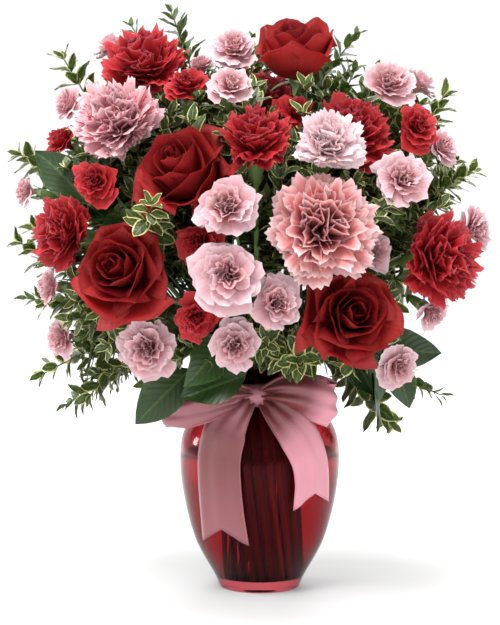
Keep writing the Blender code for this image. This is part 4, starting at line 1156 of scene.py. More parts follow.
@dataclass(frozen=True)
class SatinFinish(Finish):
    """Satin ribbon: fine threads across it, a woven edge, a strong sheen and painted shade."""

    colour: Colour
    deep: Colour
    shade: Colour
    sheen: Colour = (1.0, 0.72, 0.78)

    def paint(self, nodes: Nodes) -> None:
        """Threads are sines of the two cloth attributes; the edge is a little darker, and where the tones are
        high the cloth gets painted shade.

        Args:
            nodes: the material's nodes.
        """
        across, along = nodes.attribute("across"), nodes.attribute("along")
        threads = nodes.maths("SINE", nodes.times(along, 900.0))
        weft = nodes.maths("SINE", nodes.times(across, 150.0))
        edge = nodes.ramp(
            nodes.maths("ABSOLUTE", across), (0.93, (0.0, 0.0, 0.0)), (0.97, (1.0, 1.0, 1.0)))
        cloudy = nodes.times(nodes.noise(45.0, 2.0, (1.0, 1.0, 0.4)), 0.4)
        colour = nodes.mixed(cloudy, self.colour, self.deep)
        # Painted shade: the tones mix in the shade colour, most by the knot and on the left tail.
        colour = nodes.mixed(nodes.attribute("tone_and_shade"), colour, self.shade)
        nodes.shade(
            nodes.mixed(nodes.times(edge, 0.35), colour, self.deep), Sheen_Weight=0.35, Sheen_Roughness=0.3,
            Sheen_Tint=self.sheen, Specular_IOR_Level=0.6, Anisotropic=0.5)
        nodes.bump(nodes.times(threads, weft), 0.12, 0.2 * MM)


@dataclass(frozen=True)
class FloorFinish(Finish):
    """The pale floor under the vase, grey round the vase as painted shade."""

    # near is the painted shade's grey round the vase, far the floor's own white.
    near: Colour = (0.70, 0.70, 0.70)
    far: Colour = (0.95, 0.95, 0.95)
    spots: Colour = (0.9, 0.9, 0.9)

    def paint(self, nodes: Nodes) -> None:
        """Pale grey by the vase as painted shade that deepens the bouquet's shadow there, whiter with the
        distance from the middle, and a faint mottle.

        Args:
            nodes: the material's nodes.
        """
        place = nodes.tree.nodes.new("ShaderNodeTexCoord")
        away = nodes.tree.nodes.new("ShaderNodeVectorMath")
        away.operation = "LENGTH"
        nodes.feed(away.inputs[0], place.outputs["Object"])
        colour = nodes.ramp(away.outputs["Value"], (0.25, self.near), (0.95, self.far))
        nodes.shade(nodes.mixed(nodes.times(nodes.noise(3.0), 0.05), colour, self.spots))


# The near-black at the rose's throat is painted shade deep in the bloom.
ROSE_RED = PetalFinish(
    "rose_petal", 0.6,
    stops=((0.0, (0.065, 0.002, 0.002)), (0.55, (0.26, 0.009, 0.008)), (0.92, (0.44, 0.020, 0.020)),
           (1.0, (0.29, 0.010, 0.011))),
    shade=(0.042, 0.001, 0.002), shading=0.8, sheen=0.3, glow=0.12)
CARNATION_RED = PetalFinish(
    "red_carnation_petal", 0.6,
    stops=((0.0, (0.12, 0.003, 0.004)), (0.6, (0.35, 0.010, 0.012)), (0.95, (0.54, 0.022, 0.028)),
           (1.0, (0.64, 0.05, 0.06))),
    shade=(0.13, 0.002, 0.005), shading=0.6, sheen=0.2, glow=0.12)
CARNATION_PINK = PetalFinish(
    "pink_carnation_petal", 0.6,
    stops=((0.0, (0.42, 0.06, 0.05)), (0.45, (0.58, 0.15, 0.145)), (0.9, (0.70, 0.33, 0.33)),
           (0.97, (0.80, 0.58, 0.58)), (1.0, (0.84, 0.70, 0.70))),
    shade=(0.58, 0.12, 0.12), shading=0.55)
CARNATION_STREAKED = PetalFinish(
    "streaked_carnation_petal", 0.6,
    stops=((0.0, (0.44, 0.07, 0.08)), (0.5, (0.62, 0.24, 0.27)), (0.93, (0.75, 0.48, 0.51)),
           (1.0, (0.85, 0.72, 0.74))),
    shade=(0.50, 0.11, 0.14), shading=0.5, streak=(0.60, 0.05, 0.10))
CARNATION_PALE = PetalFinish(
    "pale_carnation_petal", 0.6,
    stops=((0.0, (0.64, 0.22, 0.21)), (0.5, (0.78, 0.53, 0.56)), (1.0, (0.86, 0.75, 0.78))),
    shade=(0.74, 0.40, 0.42), shading=0.5)
MINI_PINK = PetalFinish(
    "pink_spray_petal", 0.6,
    stops=((0.0, (0.50, 0.12, 0.11)), (0.45, (0.62, 0.30, 0.33)), (0.9, (0.69, 0.47, 0.52)),
           (1.0, (0.77, 0.63, 0.67))),
    shade=(0.56, 0.20, 0.20), shading=0.66)
# Its near-white low colour is partly painted light, brightening the pale stems under water.
CALYX_GREEN = StemFinish(
    "calyx_green", 0.45, low=(0.98, 0.94, 0.82), brown=(0.36, 0.30, 0.24), high=(0.11, 0.19, 0.045))
WHORLED_LEAF = LeafFinish(
    "variegated_leaf", 0.38, face=(0.075, 0.115, 0.028), dark=(0.022, 0.042, 0.011),
    rib=(0.20, 0.24, 0.08), margin=(0.60, 0.60, 0.24), veins=20.0)
FINE_LEAF = LeafFinish(
    "fine_leaf", 0.42, face=(0.095, 0.130, 0.030), dark=(0.030, 0.048, 0.012), veins=16.0)
BROAD_LEAF = LeafFinish(
    "broad_leaf", 0.36, face=(0.026, 0.060, 0.014), dark=(0.009, 0.026, 0.006), rib=(0.06, 0.11, 0.035),
    veins=60.0)
RUBY_GLASS = GlassFinish(
    "ruby_glass", 0.01, tint=(0.60, 0.10, 0.125), edge=(0.03, 0.001, 0.002), gloss=(0.34, 0.20, 0.21),
    ior=1.26, ripple=0.06)
VASE_WATER = GlassFinish("vase_water", 0.0, tint=(1.0, 0.86, 0.84), ior=1.33)
PINK_SATIN = SatinFinish(
    "pink_satin", 0.32, colour=(0.70, 0.29, 0.36), deep=(0.50, 0.15, 0.19), shade=(0.15, 0.028, 0.030))
PALE_FLOOR = FloorFinish("pale_floor", 0.6)


# Flowers.


def petal_frame(grids: Array, head: Head, phase: float) -> Array:
    """Turns petals from a bloom's own axes to where the head is and looks.

    Args:
        grids: the petals' corners, in parts of the bloom's radius.
        head: the flower head.
        phase: how far the bloom is turned about its own axis, in radians.

    Returns:
        The petals' corners in metres.
    """
    aside, upward = across_axes(head.facing)
    c, s = math.cos(phase), math.sin(phase)
    x = grids[..., 0:1] * c - grids[..., 1:2] * s
    y = grids[..., 0:1] * s + grids[..., 1:2] * c
    return head.base + (x * aside + y * upward + grids[..., 2:3] * head.facing) * head.radius


def pressed(grids: Array, head: Head, neighbours: list[tuple[Array, float]]) -> Array:
    """Presses a bloom's outer petals in where its neighbours touch it.

    Along each ray from the bloom's middle the outer part is squeezed to end at the nearest of the
    planes that part the bloom from its neighbours, so the layers of petals keep their order.

    Args:
        grids: the petals' corners.
        head: the flower head.
        neighbours: (middle, radius) of each neighbour.

    Returns:
        The petals' corners, pressed.
    """
    ray = grids - head.centre
    length = np.linalg.norm(ray, axis=-1)
    reach = min(length.max(), 1.25 * head.radius)
    nominal = BLOOM_REACH[head.kind] * head.radius
    way = ray / np.maximum(length, 1e-9)[..., None]
    limit = np.full(length.shape, 10.0)
    for place, size in neighbours:
        apart = place - head.centre
        distance = np.linalg.norm(apart)
        if distance > reach + size:
            continue
        plane = min((distance ** 2 + nominal ** 2 - size ** 2) / (2 * distance), distance - 0.2 * size)
        plane = max(plane, 0.3 * reach)
        along = way @ (apart / distance)
        limit = np.minimum(limit, np.where(along > 1e-3, plane / np.maximum(along, 1e-3), 10.0))
    free = 0.5 * np.minimum(limit, reach)
    squeezed = free + (length - free) * (limit - free) / (reach - free)
    length = np.where((limit < reach) & (length > free), np.minimum(length, squeezed), length)
    return head.centre + way * length[..., None]


@dataclass
class Bloom:
    """A bloom of thin petals; each kind of flower gives the petals its own form.

    The petals are counted from the middle out, and a petal's rank runs from 0 to 1. Its half angle, the
    radius of its rim and the height of its top are read at its rank, where a form gives them as lists.
    All are stretched by the factors wide, across the bloom, and tall, along its axis.
    """

    petals: int
    rows: int
    columns: int
    thickness: float = 0.4 * MM
    wide: float = 1.0
    tall: float = 1.0

    def axes(self) -> tuple[Array, Array, Array]:
        """What the petals' forms are worked out from.

        Returns:
            Each petal's rank, and the petal's own v (base to edge) and u (side to side).
        """
        s = (np.arange(self.petals) / (self.petals - 1))[:, None, None]
        v = np.linspace(0.0, 1.0, self.rows)[None, :, None]
        u = np.linspace(-1.0, 1.0, self.columns)[None, None, :]
        return s, v, u

    def teeth(self, v: Array, depth: float) -> Array:
        """How far a fringe moves every second corner up and the others down, close to the edge."""
        tooth = (np.arange(self.columns) % 2)[None, None, :] - 0.5
        return depth * tooth * v ** 8

    def petals_of(self, rng: Random) -> tuple[list[Array], Array]:
        """The petals' (x, y, z) on the bloom's own axes, and how much painted shade each gets; each kind has
        its own.
        """
        raise NotImplementedError

    def build(self, layout: Layout, index: int, rng: Random) -> Mesh:
        """The bloom of one head, turned to look where it should and pressed against its neighbours.

        Args:
            layout: where everything goes.
            index: the head's number.
            rng: the random numbers.

        Returns:
            The petals as one mesh.
        """
        head = layout.heads[index]
        _, v, u = self.axes()
        (x, y, z), tone_and_shade = self.petals_of(rng)
        grid = np.stack(np.broadcast_arrays(x * self.wide, y * self.wide, z * self.tall), axis=-1)
        grid = pressed(petal_frame(grid, head, rng.uniform(0, 6.28)), head, layout.neighbours(index))
        return shells(grid, self.thickness, {"along": v, "across": u, "tone_and_shade": tone_and_shade})

    @staticmethod
    def curve(t: Array, points: tuple[Array | float, ...]) -> Array:
        """A cubic Bezier curve of four values, read at t."""
        a, b, c, d = points
        return a * (1 - t) ** 3 + 3 * b * t * (1 - t) ** 2 + 3 * c * t ** 2 * (1 - t) + d * t ** 3


@dataclass
class RoseBloom(Bloom):
    """An open rose: a wound bud in the middle, and broad outer petals whose rims roll back to a point.

    A cup of one lets the outer petals reach as high as the inner ones, as on a rose that is still tall.
    """

    petals: int = 23
    rows: int = 13
    columns: int = 15
    thickness: float = 0.5 * MM
    cup: float = 0.0
    ranks: tuple[float, ...] = (0.0, 0.12, 0.25, 0.42, 0.58, 0.78, 1.0)
    half_angles: tuple[float, ...] = (2.5, 2.0, 1.6, 1.3, 1.12, 1.0, 0.92)
    rims: tuple[float, ...] = (0.04, 0.13, 0.23, 0.36, 0.50, 0.72, 0.90)
    open_tops: tuple[float, ...] = (1.10, 1.15, 1.19, 1.16, 1.05, 0.84, 0.52)
    cup_tops: tuple[float, ...] = (1.02, 1.05, 1.08, 1.11, 1.14, 1.13, 1.04)

    def petals_of(self, rng: Random) -> tuple[list[Array], Array]:
        """The petals in parts of the bloom's radius.

        Each petal runs up a cubic Bezier profile in radius and height, from the calyx to its rim, and
        spreads round the axis by its half angle. Rims roll outwards, the sides of the outer petals
        bend back, and one side edge stands further out than the other, which winds the bud.

        Args:
            rng: the random numbers.

        Returns:
            The (x, y, z) of the corners, and the tones of painted shade, most on the inner petals.
        """
        s, v, u = self.axes()
        shake = rng.standard_normal((self.petals, 6))[:, :, None, None]
        half = np.interp(s, self.ranks, self.half_angles) * (1 + 0.06 * shake[:, 1])
        rim = np.interp(s, self.ranks, self.rims) * (1 + 0.05 * shake[:, 2])
        tops = np.array(self.open_tops)
        tops = tops + self.cup * (np.array(self.cup_tops) - tops)
        top = np.interp(s, self.ranks, tops) * (1 + 0.03 * shake[:, 3])
        loose = np.clip((s - 0.15) / 0.5, 0.0, 1.0) * (1 - 0.25 * self.cup)
        side = np.abs(u)
        edge = 1.0 - 0.20 * side ** (2.6 - 0.8 * s) * (0.35 + 0.65 * s) + 0.04 * s * np.exp(-(u / 0.14) ** 2)
        t = v * edge
        profile = (0.05, 0.60 * rim + 0.08 + 0.06 * s, 1.04 * rim + 0.02, rim * (0.90 + 0.10 * s))
        radius = self.curve(t, profile)
        height = self.curve(t, (0.02, 0.04, 0.52 * top, top))
        roll = np.clip((v - 0.66) / 0.34, 0.0, 1.0) ** 2
        radius = radius + loose * roll * (0.13 + 0.13 * side ** 1.5) + 0.045 * u * t * (1 - 0.3 * s)
        radius = radius + 0.10 * s * side ** 3 * t + 0.018 * np.sin(2.1 * u * math.pi + 3 * shake[:, 5]) * t
        height = height - loose * roll * (0.09 + 0.16 * side ** 2)
        height = height + 0.022 * np.sin(2.7 * u * math.pi + 3 * shake[:, 4]) * roll * (0.3 + s)
        angle = s * (self.petals - 1) * GOLDEN_TURN + 0.18 * shake[:, 0] + u * half * (1 - 0.08 * v ** 2)
        # Painted shade: inner petals darker, outer ones lighter, with some at random.
        tone_and_shade = np.clip(0.70 - 0.62 * s + 0.16 * shake[:, 1], 0.0, 1.0)
        return [radius * np.cos(angle), radius * np.sin(angle), height], tone_and_shade


@dataclass
class SprayBloom(Bloom):
    """A small spray carnation: cupped, folded petals in a rosette over broad, finely toothed outer ones."""

    petals: int = 18
    rows: int = 6
    columns: int = 13
    fringe: float = 0.03
    ranks: tuple[float, ...] = (0.0, 0.25, 0.5, 0.75, 1.0)
    half_angles: tuple[float, ...] = (1.8, 1.35, 1.12, 1.02, 0.96)
    rims: tuple[float, ...] = (0.08, 0.26, 0.52, 0.80, 0.97)
    tops: tuple[float, ...] = (1.00, 1.06, 0.98, 0.76, 0.46)

    def petals_of(self, rng: Random) -> tuple[list[Array], Array]:
        """The petals in parts of the bloom's radius.

        A petal rises as a narrow claw and then flares on a cubic Bezier profile, upright in the middle
        and flat outside. Sines across it, growing to the edge, fold and wave it.

        Args:
            rng: the random numbers.

        Returns:
            The (x, y, z) of the corners, and the tones of painted shade, most on the inner petals.
        """
        s, v, u = self.axes()
        shake = rng.standard_normal((self.petals, 6))[:, :, None, None]
        half = np.interp(s, self.ranks, self.half_angles) * (1 + 0.10 * shake[:, 1])
        rim = np.interp(s, self.ranks, self.rims) * (1 + 0.05 * shake[:, 2])
        top = np.interp(s, self.ranks, self.tops) * (1 + 0.06 * shake[:, 3])
        wave = np.sin(3.1 * math.pi * u + 3 * shake[:, 4])
        t = v * (1.0 - 0.07 * np.abs(u) ** 3 + 0.022 * wave + self.teeth(v, self.fringe))
        radius = self.curve(t, (0.04, 0.12, 0.42 * rim + 0.05 * s, rim))
        height = self.curve(t, (0.0, 0.34, 0.50 * top + 0.30, top))
        fold = np.sin((2.6 - 0.6 * s) * math.pi * u + 3 * shake[:, 5])
        fold = fold + 0.4 * np.sin(5.3 * math.pi * u + 3 * shake[:, 3])
        radius = radius + (0.075 - 0.04 * s) * fold * t ** 1.5 + 0.08 * u * t
        height = height + 0.05 * (0.3 + s) * wave * t ** 3
        angle = s * (self.petals - 1) * GOLDEN_TURN + 0.25 * shake[:, 0] + u * half * (0.75 + 0.25 * t)
        # Painted shade: inner petals darker, outer ones lighter, with some at random.
        tone_and_shade = np.clip(0.75 - 0.70 * s + 0.15 * shake[:, 1], 0.0, 1.0)
        return [radius * np.cos(angle), radius * np.sin(angle), height], tone_and_shade


@dataclass
class CarnationBloom(Bloom):
    """A large carnation: a crowded ball of fan-shaped, crumpled petals with finely toothed edges."""

    petals: int = 42
    rows: int = 7
    columns: int = 21
    ruffle: float = 0.14
    fringe: float = 0.035
    length: float = 0.93

    def petals_of(self, rng: Random) -> tuple[list[Array], Array]:
        """The petals in parts of the bloom's radius.

        Each petal leaves the calyx along the axis and bends out by its own tilt on a quadratic Bezier
        curve; it widens like a fan. Two sines across the fan, growing to the edge, crumple it. The
        petals in the middle lean at random.

        Args:
            rng: the random numbers.

        Returns:
            The (x, y, z) of the corners, and the tones of painted shade, most on the inner petals.
        """
        s, v, u = self.axes()
        shake = rng.standard_normal((self.petals, 7))[:, :, None, None]
        turn = s * (self.petals - 1) * GOLDEN_TURN + (0.5 - 0.35 * s) * shake[:, 0]
        tilt = np.radians(2 + 80 * s ** 0.8 + (11 - 6 * s) * shake[:, 1])
        edge = 1.0 - 0.15 * np.abs(u) ** 3 + 0.04 * np.sin(4.6 * u + 3 * shake[:, 2])
        t = v * (edge + self.teeth(v, self.fringe))
        reach = self.length * (1 + 0.05 * shake[:, 3])
        tip_radius, tip_height = reach * np.sin(tilt), 0.30 + 0.84 * reach * np.cos(tilt)
        radius = 0.06 * (1 - t) ** 2 + 2 * (0.10 + 0.05 * s) * t * (1 - t) + tip_radius * t ** 2
        height = 0.02 * (1 - t) ** 2 + 2 * (0.40 - 0.04 * s) * t * (1 - t) + tip_height * t ** 2
        width = (0.06 + 0.52 * t ** 1.1) * (1 + 0.12 * shake[:, 4])
        wave = np.sin(math.pi * 2.1 * u + 3.1 * shake[:, 5])
        wave = wave + 0.45 * np.sin(math.pi * 4.7 * u + 2.3 * shake[:, 6])
        swell = self.ruffle * t ** 1.4 * wave * (1.1 - 0.35 * s)
        across = u * width * (1 - 0.12 * (1 - s))
        radius = radius + swell * np.cos(tilt) - 0.35 * across ** 2 * (1 - s)
        height = height + swell * np.sin(tilt) - 0.12 * across ** 2
        c, n = np.cos(turn), np.sin(turn)
        # Painted shade: inner petals darker, outer ones lighter, with some at random.
        tone_and_shade = np.clip(0.62 - 0.5 * s + 0.2 * shake[:, 1], 0.0, 1.0)
        return [radius * c - across * n, radius * n + across * c, height], tone_and_shade


def greening(points: Array) -> Array:
    """How green a stem is at each point: pale under water and fully green above the vase's lip."""
    return np.clip((points[:, 2] - 0.8 * WATER_LINE) / (BUNDLE_TOP - 0.8 * WATER_LINE), 0.0, 1.0)


def with_calyx(line: Array, head: Head, radius: float) -> tuple[Array, Array]:
    """A stem carried on through the calyx to the mouth that holds the petals.

    The calyx swells from the stem by a power of a sine to a round hip on a rose, and by one less a
    power to a long cup on a carnation.

    Args:
        line: the stem, up to the calyx.
        head: its flower head.
        radius: the stem's radius.

    Returns:
        The points of the stem and the calyx, and their radii.
    """
    mouth = CALYX_MOUTH[head.kind]
    share = np.linspace(0.0, 1.0, 8)
    if head.kind is Kind.ROSE:
        spread = radius + (mouth * 1.15 - radius) * np.sin(share * math.pi * 0.62) ** 0.8
    else:
        spread = radius + (mouth - radius) * (1 - (1 - share) ** 2.4)
    calyx = head.foot + (head.base - head.foot) * share[:, None]
    return np.vstack([line[:-1], calyx]), np.concatenate([np.full(len(line) - 1, radius), spread])


def sepals(head: Head, rng: Random) -> Mesh:
    """Five pointed sepals: bent back under a rose, standing close round a carnation's petals.

    Each is a strip whose half width falls from the calyx to a point; its middle line leaves the
    calyx's mouth and curls by a quadratic.

    Args:
        head: the flower head that they stand under.
        rng: the random numbers.

    Returns:
        The sepals as one mesh.
    """
    count, rows, columns = 5, 7, 3
    v = np.linspace(0.0, 1.0, rows)[None, :, None]
    u = np.linspace(-1.0, 1.0, columns)[None, None, :]
    angle = (np.arange(count) / count * 2 * math.pi + rng.uniform(0, 6))[:, None, None]
    mouth = CALYX_MOUTH[head.kind]
    if head.kind is Kind.ROSE:
        radius, height = mouth * 0.9 + 17 * MM * v, -2.2 * MM + 3 * MM * v - 9 * MM * v ** 2
        width = 3.6 * MM * (1 - v) ** 0.7 + 0.3 * MM
    else:
        radius, height = mouth * (1.0 + 0.25 * v ** 2), -2 * MM + 7 * MM * v
        width = mouth * 0.55 * (1 - v ** 1.6) + 0.2 * MM
    height = height - 0.6 * MM * np.abs(u)
    c, s = np.cos(angle), np.sin(angle)
    aside, upward = across_axes(head.facing)
    x, y = radius * c - u * width * s, radius * s + u * width * c
    grid = np.stack(np.broadcast_arrays(x, y, height), axis=-1)
    grid = head.base + grid[..., 0:1] * aside + grid[..., 1:2] * upward + grid[..., 2:3] * head.facing
    return shells(grid, 0.5 * MM, {"along": 0.7 + 0.3 * v, "across": u, "tone_and_shade": 0.3})


@dataclass
class FlowerStem:
    """The stem of a rose or a large carnation, with its calyx and sepals."""

    layout: Layout
    sides: int = 10

    def build(self, name: str, rng: Random) -> Mesh:
        """The stem, with its calyx and sepals.

        Args:
            name: the plant's name.
            rng: the random numbers.

        Returns:
            The stem as one mesh.
        """
        plant = self.layout.plants[name]
        head = self.layout.heads[plant.heads[0]]
        points, radii = with_calyx(self.layout.stem_line(name), head, STEM_RADIUS[plant.kind])
        paint = {"along": greening(points), "across": 0.0, "tone_and_shade": rng.uniform()}
        return Mesh.joined([tube(points, radii, self.sides, paint), sepals(head, rng)])


@dataclass
class Spray:
    """A branched stem of small carnations."""

    layout: Layout
    sides: int = 8

    def build(self, name: str, rng: Random) -> tuple[Mesh, Mesh]:
        """The spray's petals, and its green stems with their calyxes.

        Args:
            name: the plant's name.
            rng: the random numbers.

        Returns:
            (petals, stems).
        """
        plant = self.layout.plants[name]
        plain = {"across": 0.0, "tone_and_shade": rng.uniform()}
        trunk = self.layout.stem_line(name)
        greens = [tube(trunk, STEM_RADIUS[Kind.MINI], self.sides, {"along": greening(trunk), **plain})]
        blooms = []
        for number, index in zip(plant.paths[1:], plant.heads):
            head = self.layout.heads[index]
            points, radii = with_calyx(self.layout.branch_line(number), head, TWIG_RADIUS)
            greens.append(tube(points, radii, self.sides, {"along": 1.0, **plain}))
            greens.append(sepals(head, rng))
            blooms.append(SprayBloom().build(self.layout, index, rng))
        return Mesh.joined(blooms), Mesh.joined(greens)


@dataclass
class Bouquet:
    """All the flowers in the vase."""

    layout: Layout

    def finish_of(self, name: str) -> PetalFinish:
        """The petal finish of a plant.

        Args:
            name: the plant's name.

        Returns:
            The finish.
        """
        plant = self.layout.plants[name]
        if plant.kind is Kind.ROSE:
            return ROSE_RED
        if plant.colour == "red":
            return CARNATION_RED
        if plant.kind is Kind.MINI:
            return MINI_PINK
        return {STREAKED: CARNATION_STREAKED, PALE: CARNATION_PALE}.get(name, CARNATION_PINK)

    def build(self, rng: Random) -> None:
        """Makes every bloom, stem and spray.

        Args:
            rng: the random numbers.
        """
        for name, plant in self.layout.plants.items():
            if plant.kind is Kind.SPRIG:
                continue
            finish = self.finish_of(name)
            if plant.kind is Kind.MINI:
                petals, greens = Spray(self.layout).build(name, rng)
                dress(name + "_petals", petals, finish, name)
                dress(name + "_stems", greens, CALYX_GREEN, name)
                continue
            bloom = CarnationBloom()
            if plant.kind is Kind.ROSE:
                bloom = RoseBloom(wide=1.10, tall=1.28, cup=0.9) if name == UPRIGHT else RoseBloom()
            petals = bloom.build(self.layout, plant.heads[0], rng)
            dress(name + "_petals", petals, finish, name + "_bloom")
            stem = FlowerStem(self.layout).build(name, rng)
            dress(name + "_green_stem", stem, CALYX_GREEN, name + "_stem")


# Greenery.


@dataclass
class LeafShape:
    """The shape of one kind of leaf, and how the leaves stand on a twig.

    Whorls of leaves stand a spacing apart and lean out by the spread. The lower part of the twig, by the
    share bare, has none, and the last leaf is smaller by the factor last. Fold, droop and wave are
    parts of the width or the length; tip and full are the powers that draw the outline.
    """

    length: float
    width: float
    spacing: float
    whorl: int
    spread: float
    bare: float
    rows: int
    columns: int
    droop: float
    fold: float = 0.22
    wave: float = 0.05
    tip: float = 0.9
    full: float = 0.85
    last: float = 0.62
    thickness: float = 0.5 * MM

    def grids(self, base: Array, way: Array, face: Array, size: Array, rng: Random) -> dict[str, Array]:
        """Several leaves at once.

        A leaf's middle line runs from its base along its way and droops by a quadratic. Its half width
        is a sine of the length, drawn out to a point; it is folded along the rib and waved at the edge.

        Args:
            base: where each leaf grows from, (leaves, 3).
            way: where each points.
            face: what its upper face looks at.
            size: factor on length and width, (leaves,).
            rng: the random numbers.

        Returns:
            The corners as "grid", and the attributes "along", "across" and "tone".
        """
        aside = unit(np.cross(way, face))
        normal = np.cross(aside, way)
        v = np.linspace(0.0, 1.0, self.rows)[None, :, None]
        u = np.linspace(-1.0, 1.0, self.columns)[None, None, :]
        shake = rng.standard_normal((len(base), 3))[:, :, None, None]
        length = (self.length * size)[:, None, None]
        outline = np.sin(math.pi * v ** self.tip) ** self.full + 0.05 * (1 - v)
        half = 0.5 * (self.width * size)[:, None, None] * outline
        curl = (self.droop * (1 + 0.4 * shake[:, 0])) * v ** 2
        rise = self.fold * np.abs(u) * half - curl * length
        rise = rise + self.wave * length * np.sin(2.6 * math.pi * v + 3 * shake[:, 1]) * np.abs(u) ** 2
        sway = 0.06 * shake[:, 2] * length * v ** 2
        grid = (base[:, None, None] + way[:, None, None] * (v * length)[..., None]
                + aside[:, None, None] * (u * half + sway)[..., None]
                + normal[:, None, None] * rise[..., None])
        return {"grid": grid, "along": v, "across": u, "tone_and_shade": np.clip(0.5 + 0.3 * shake[:, 1], 0.0, 1.0)}


LEAF_SHAPES = {
    Foliage.WHORLED: LeafShape(
        length=25 * MM, width=12.5 * MM, spacing=12 * MM, whorl=4, spread=1.7, bare=0.30, rows=7, columns=3,
        fold=0.2, droop=0.14, full=0.68),
    Foliage.ALTERNATE: LeafShape(
        length=19 * MM, width=8.5 * MM, spacing=7 * MM, whorl=2, spread=1.0, bare=0.15, rows=5, columns=3,
        fold=0.3, droop=0.15),
    Foliage.BROAD: LeafShape(
        length=68 * MM, width=40 * MM, spacing=24 * MM, whorl=1, spread=0.9, bare=0.35, rows=10, columns=7,
        droop=0.2, wave=0.035, last=0.86),
}
LEAF_FINISHES = {Foliage.WHORLED: WHORLED_LEAF, Foliage.ALTERNATE: FINE_LEAF, Foliage.BROAD: BROAD_LEAF}


@dataclass
class Sprig:
    """A branched stem of greenery, with leaves all along the outer part of its twigs.

    Its leaves stay between the corners low and high. A twig has at most most_whorls of them, which close
    round its tip over the last spacings. Broad leaves hang out and down below the height hang_below,
    fully so by hang_fade further down.
    """

    layout: Layout
    foliage: Foliage
    low: Array
    high: Array
    most_whorls: int = 9
    closing: float = 2.5
    hang_below: float = 225 * MM
    hang_fade: float = 40 * MM
    lip_height: float = 186 * MM
    glass_room: float = 3 * MM
    bow_top: float = 180 * MM

    def leaves(self, line: Array, rng: Random) -> Mesh | None:
        """The leaves of one twig, without those that would stand in a bloom, in the vase or out of bounds.

        Stations lie a spacing apart along the line, each with a whorl of leaves turned by the golden
        angle from the last; leaves grow smaller towards the tip, where the last ones close round it.

        Args:
            line: the twig.
            rng: the random numbers.

        Returns:
            The leaves, or None where none has room.
        """
        shape = LEAF_SHAPES[self.foliage]
        run = run_length(line)
        first = max(shape.bare * run[-1], run[-1] - self.most_whorls * shape.spacing)
        at = np.repeat(np.arange(run[-1], first, -shape.spacing), shape.whorl)
        base = read_rows(at, run, line)
        way = unit(read_rows(at, run, unit(np.gradient(line, axis=0))))
        number = np.arange(len(at))
        turn = (number // shape.whorl) * GOLDEN_TURN + (number % shape.whorl) * 2 * math.pi / shape.whorl
        turn = turn + 0.3 * rng.standard_normal(len(at)) + rng.uniform(0, 6)
        if self.foliage is Foliage.BROAD:
            hang = np.clip((self.hang_below - base[:, 2]) / self.hang_fade, 0.0, 1.0)[:, None]
            aside = np.sign(base[:, :1]) * np.array([[1.0, 0.0, 0.0]])
            way = unit(way + hang * (0.9 * aside + np.array([0.0, -0.45, -0.9])))
        aside, upward = across_axes(way)
        radial = aside * np.cos(turn)[:, None] + upward * np.sin(turn)[:, None]
        tip = np.clip((run[-1] - at) / (self.closing * shape.spacing), 0.0, 1.0)
        spread = (shape.spread * (0.45 + 0.55 * tip))[:, None]
        out = unit(way + radial * spread * (1 + 0.2 * rng.standard_normal((len(at), 1))))
        face = way - out * (way * out).sum(axis=1, keepdims=True) + 0.15 * radial
        face = unit(face + np.array([0.0, 0.0, 0.35]))
        size = (shape.last + (1.0 - shape.last) * tip) * rng.uniform(0.8, 1.1, len(at))
        made = shape.grids(base, out, face, size, rng)
        keep = self.has_room(made["grid"])
        if not keep.any():
            return None
        grid = made.pop("grid")[keep]
        made["tone_and_shade"] = made["tone_and_shade"][keep]
        return shells(grid, shape.thickness, made)

    def has_room(self, grids: Array) -> Array:
        """Which leaves keep clear of the blooms, the vase, the bow and the edge of the solids' box.

        Args:
            grids: the leaves' corners.

        Returns:
            True or False for each leaf.
        """
        spots = grids[:, 1::2, ::2].reshape(len(grids), -1, 3)
        x, y, z = spots[..., 0], spots[..., 1], spots[..., 2]
        clear = ((spots > self.low) & (spots < self.high)).all(axis=(1, 2))
        for head in self.layout.heads:
            inside = np.linalg.norm(spots - head.centre, axis=2) < 0.80 * head.radius
            clear &= inside.mean(axis=1) < 0.12
        across = np.linalg.norm(spots[..., :2], axis=2)
        clear &= ~((z < self.lip_height) & (across < vase_radius(z) + self.glass_room)).any(axis=1)
        bow = np.where(y > -68 * MM, 80 * MM, 50 * MM)
        clear &= ~((y < -30 * MM) & (z < self.bow_top) & (np.abs(x) < bow)).any(axis=1)
        return clear

    def build(self, name: str, fillers: list[Array], rng: Random) -> Mesh:
        """The sprig: its own twigs, short ones that fill the gaps near it, and single leaves on stalks.

        Args:
            name: the plant's name.
            fillers: places that short twigs reach for.
            rng: the random numbers.

        Returns:
            The sprig as one mesh.
        """
        plain = {"along": 0.2, "across": 0.5, "tone_and_shade": 0.6}
        parts = [tube(self.layout.stem_line(name), STEM_RADIUS[Kind.SPRIG], 8, plain)]
        fork = self.layout.fork(name)
        twigs = [self.layout.branch_line(number) for number in self.layout.plants[name].paths[1:]]
        for place in fillers:
            arrive = unit(outward(place) + np.array([0.0, 0.0, 0.3]))
            twigs.append(bend(fork, unit(place - fork), place, arrive)[::2])
        for line in twigs:
            parts.append(tube(line, np.linspace(TWIG_RADIUS, 0.6 * MM, len(line)), 6, plain))
            made = self.leaves(line, rng)
            if made:
                parts.append(made)
        if name in PLACED_LEAVES:
            shape = LEAF_SHAPES[self.foliage]
            ends = np.array(PLACED_LEAVES[name], float) * MM
            for start, way in zip(ends[:, 0], unit(ends[:, 0] - fork)):
                parts.append(tube(bend(fork, way, start, way)[::3], TWIG_RADIUS, 6, plain))
            run = ends[:, 1] - ends[:, 0]
            size = np.linalg.norm(run, axis=1) / shape.length
            face = np.broadcast_to([0.0, -0.85, 0.5], run.shape)
            made = shape.grids(ends[:, 0], unit(run), face, size, rng)
            parts.append(shells(made.pop("grid"), shape.thickness, made))
        return Mesh.joined(parts)


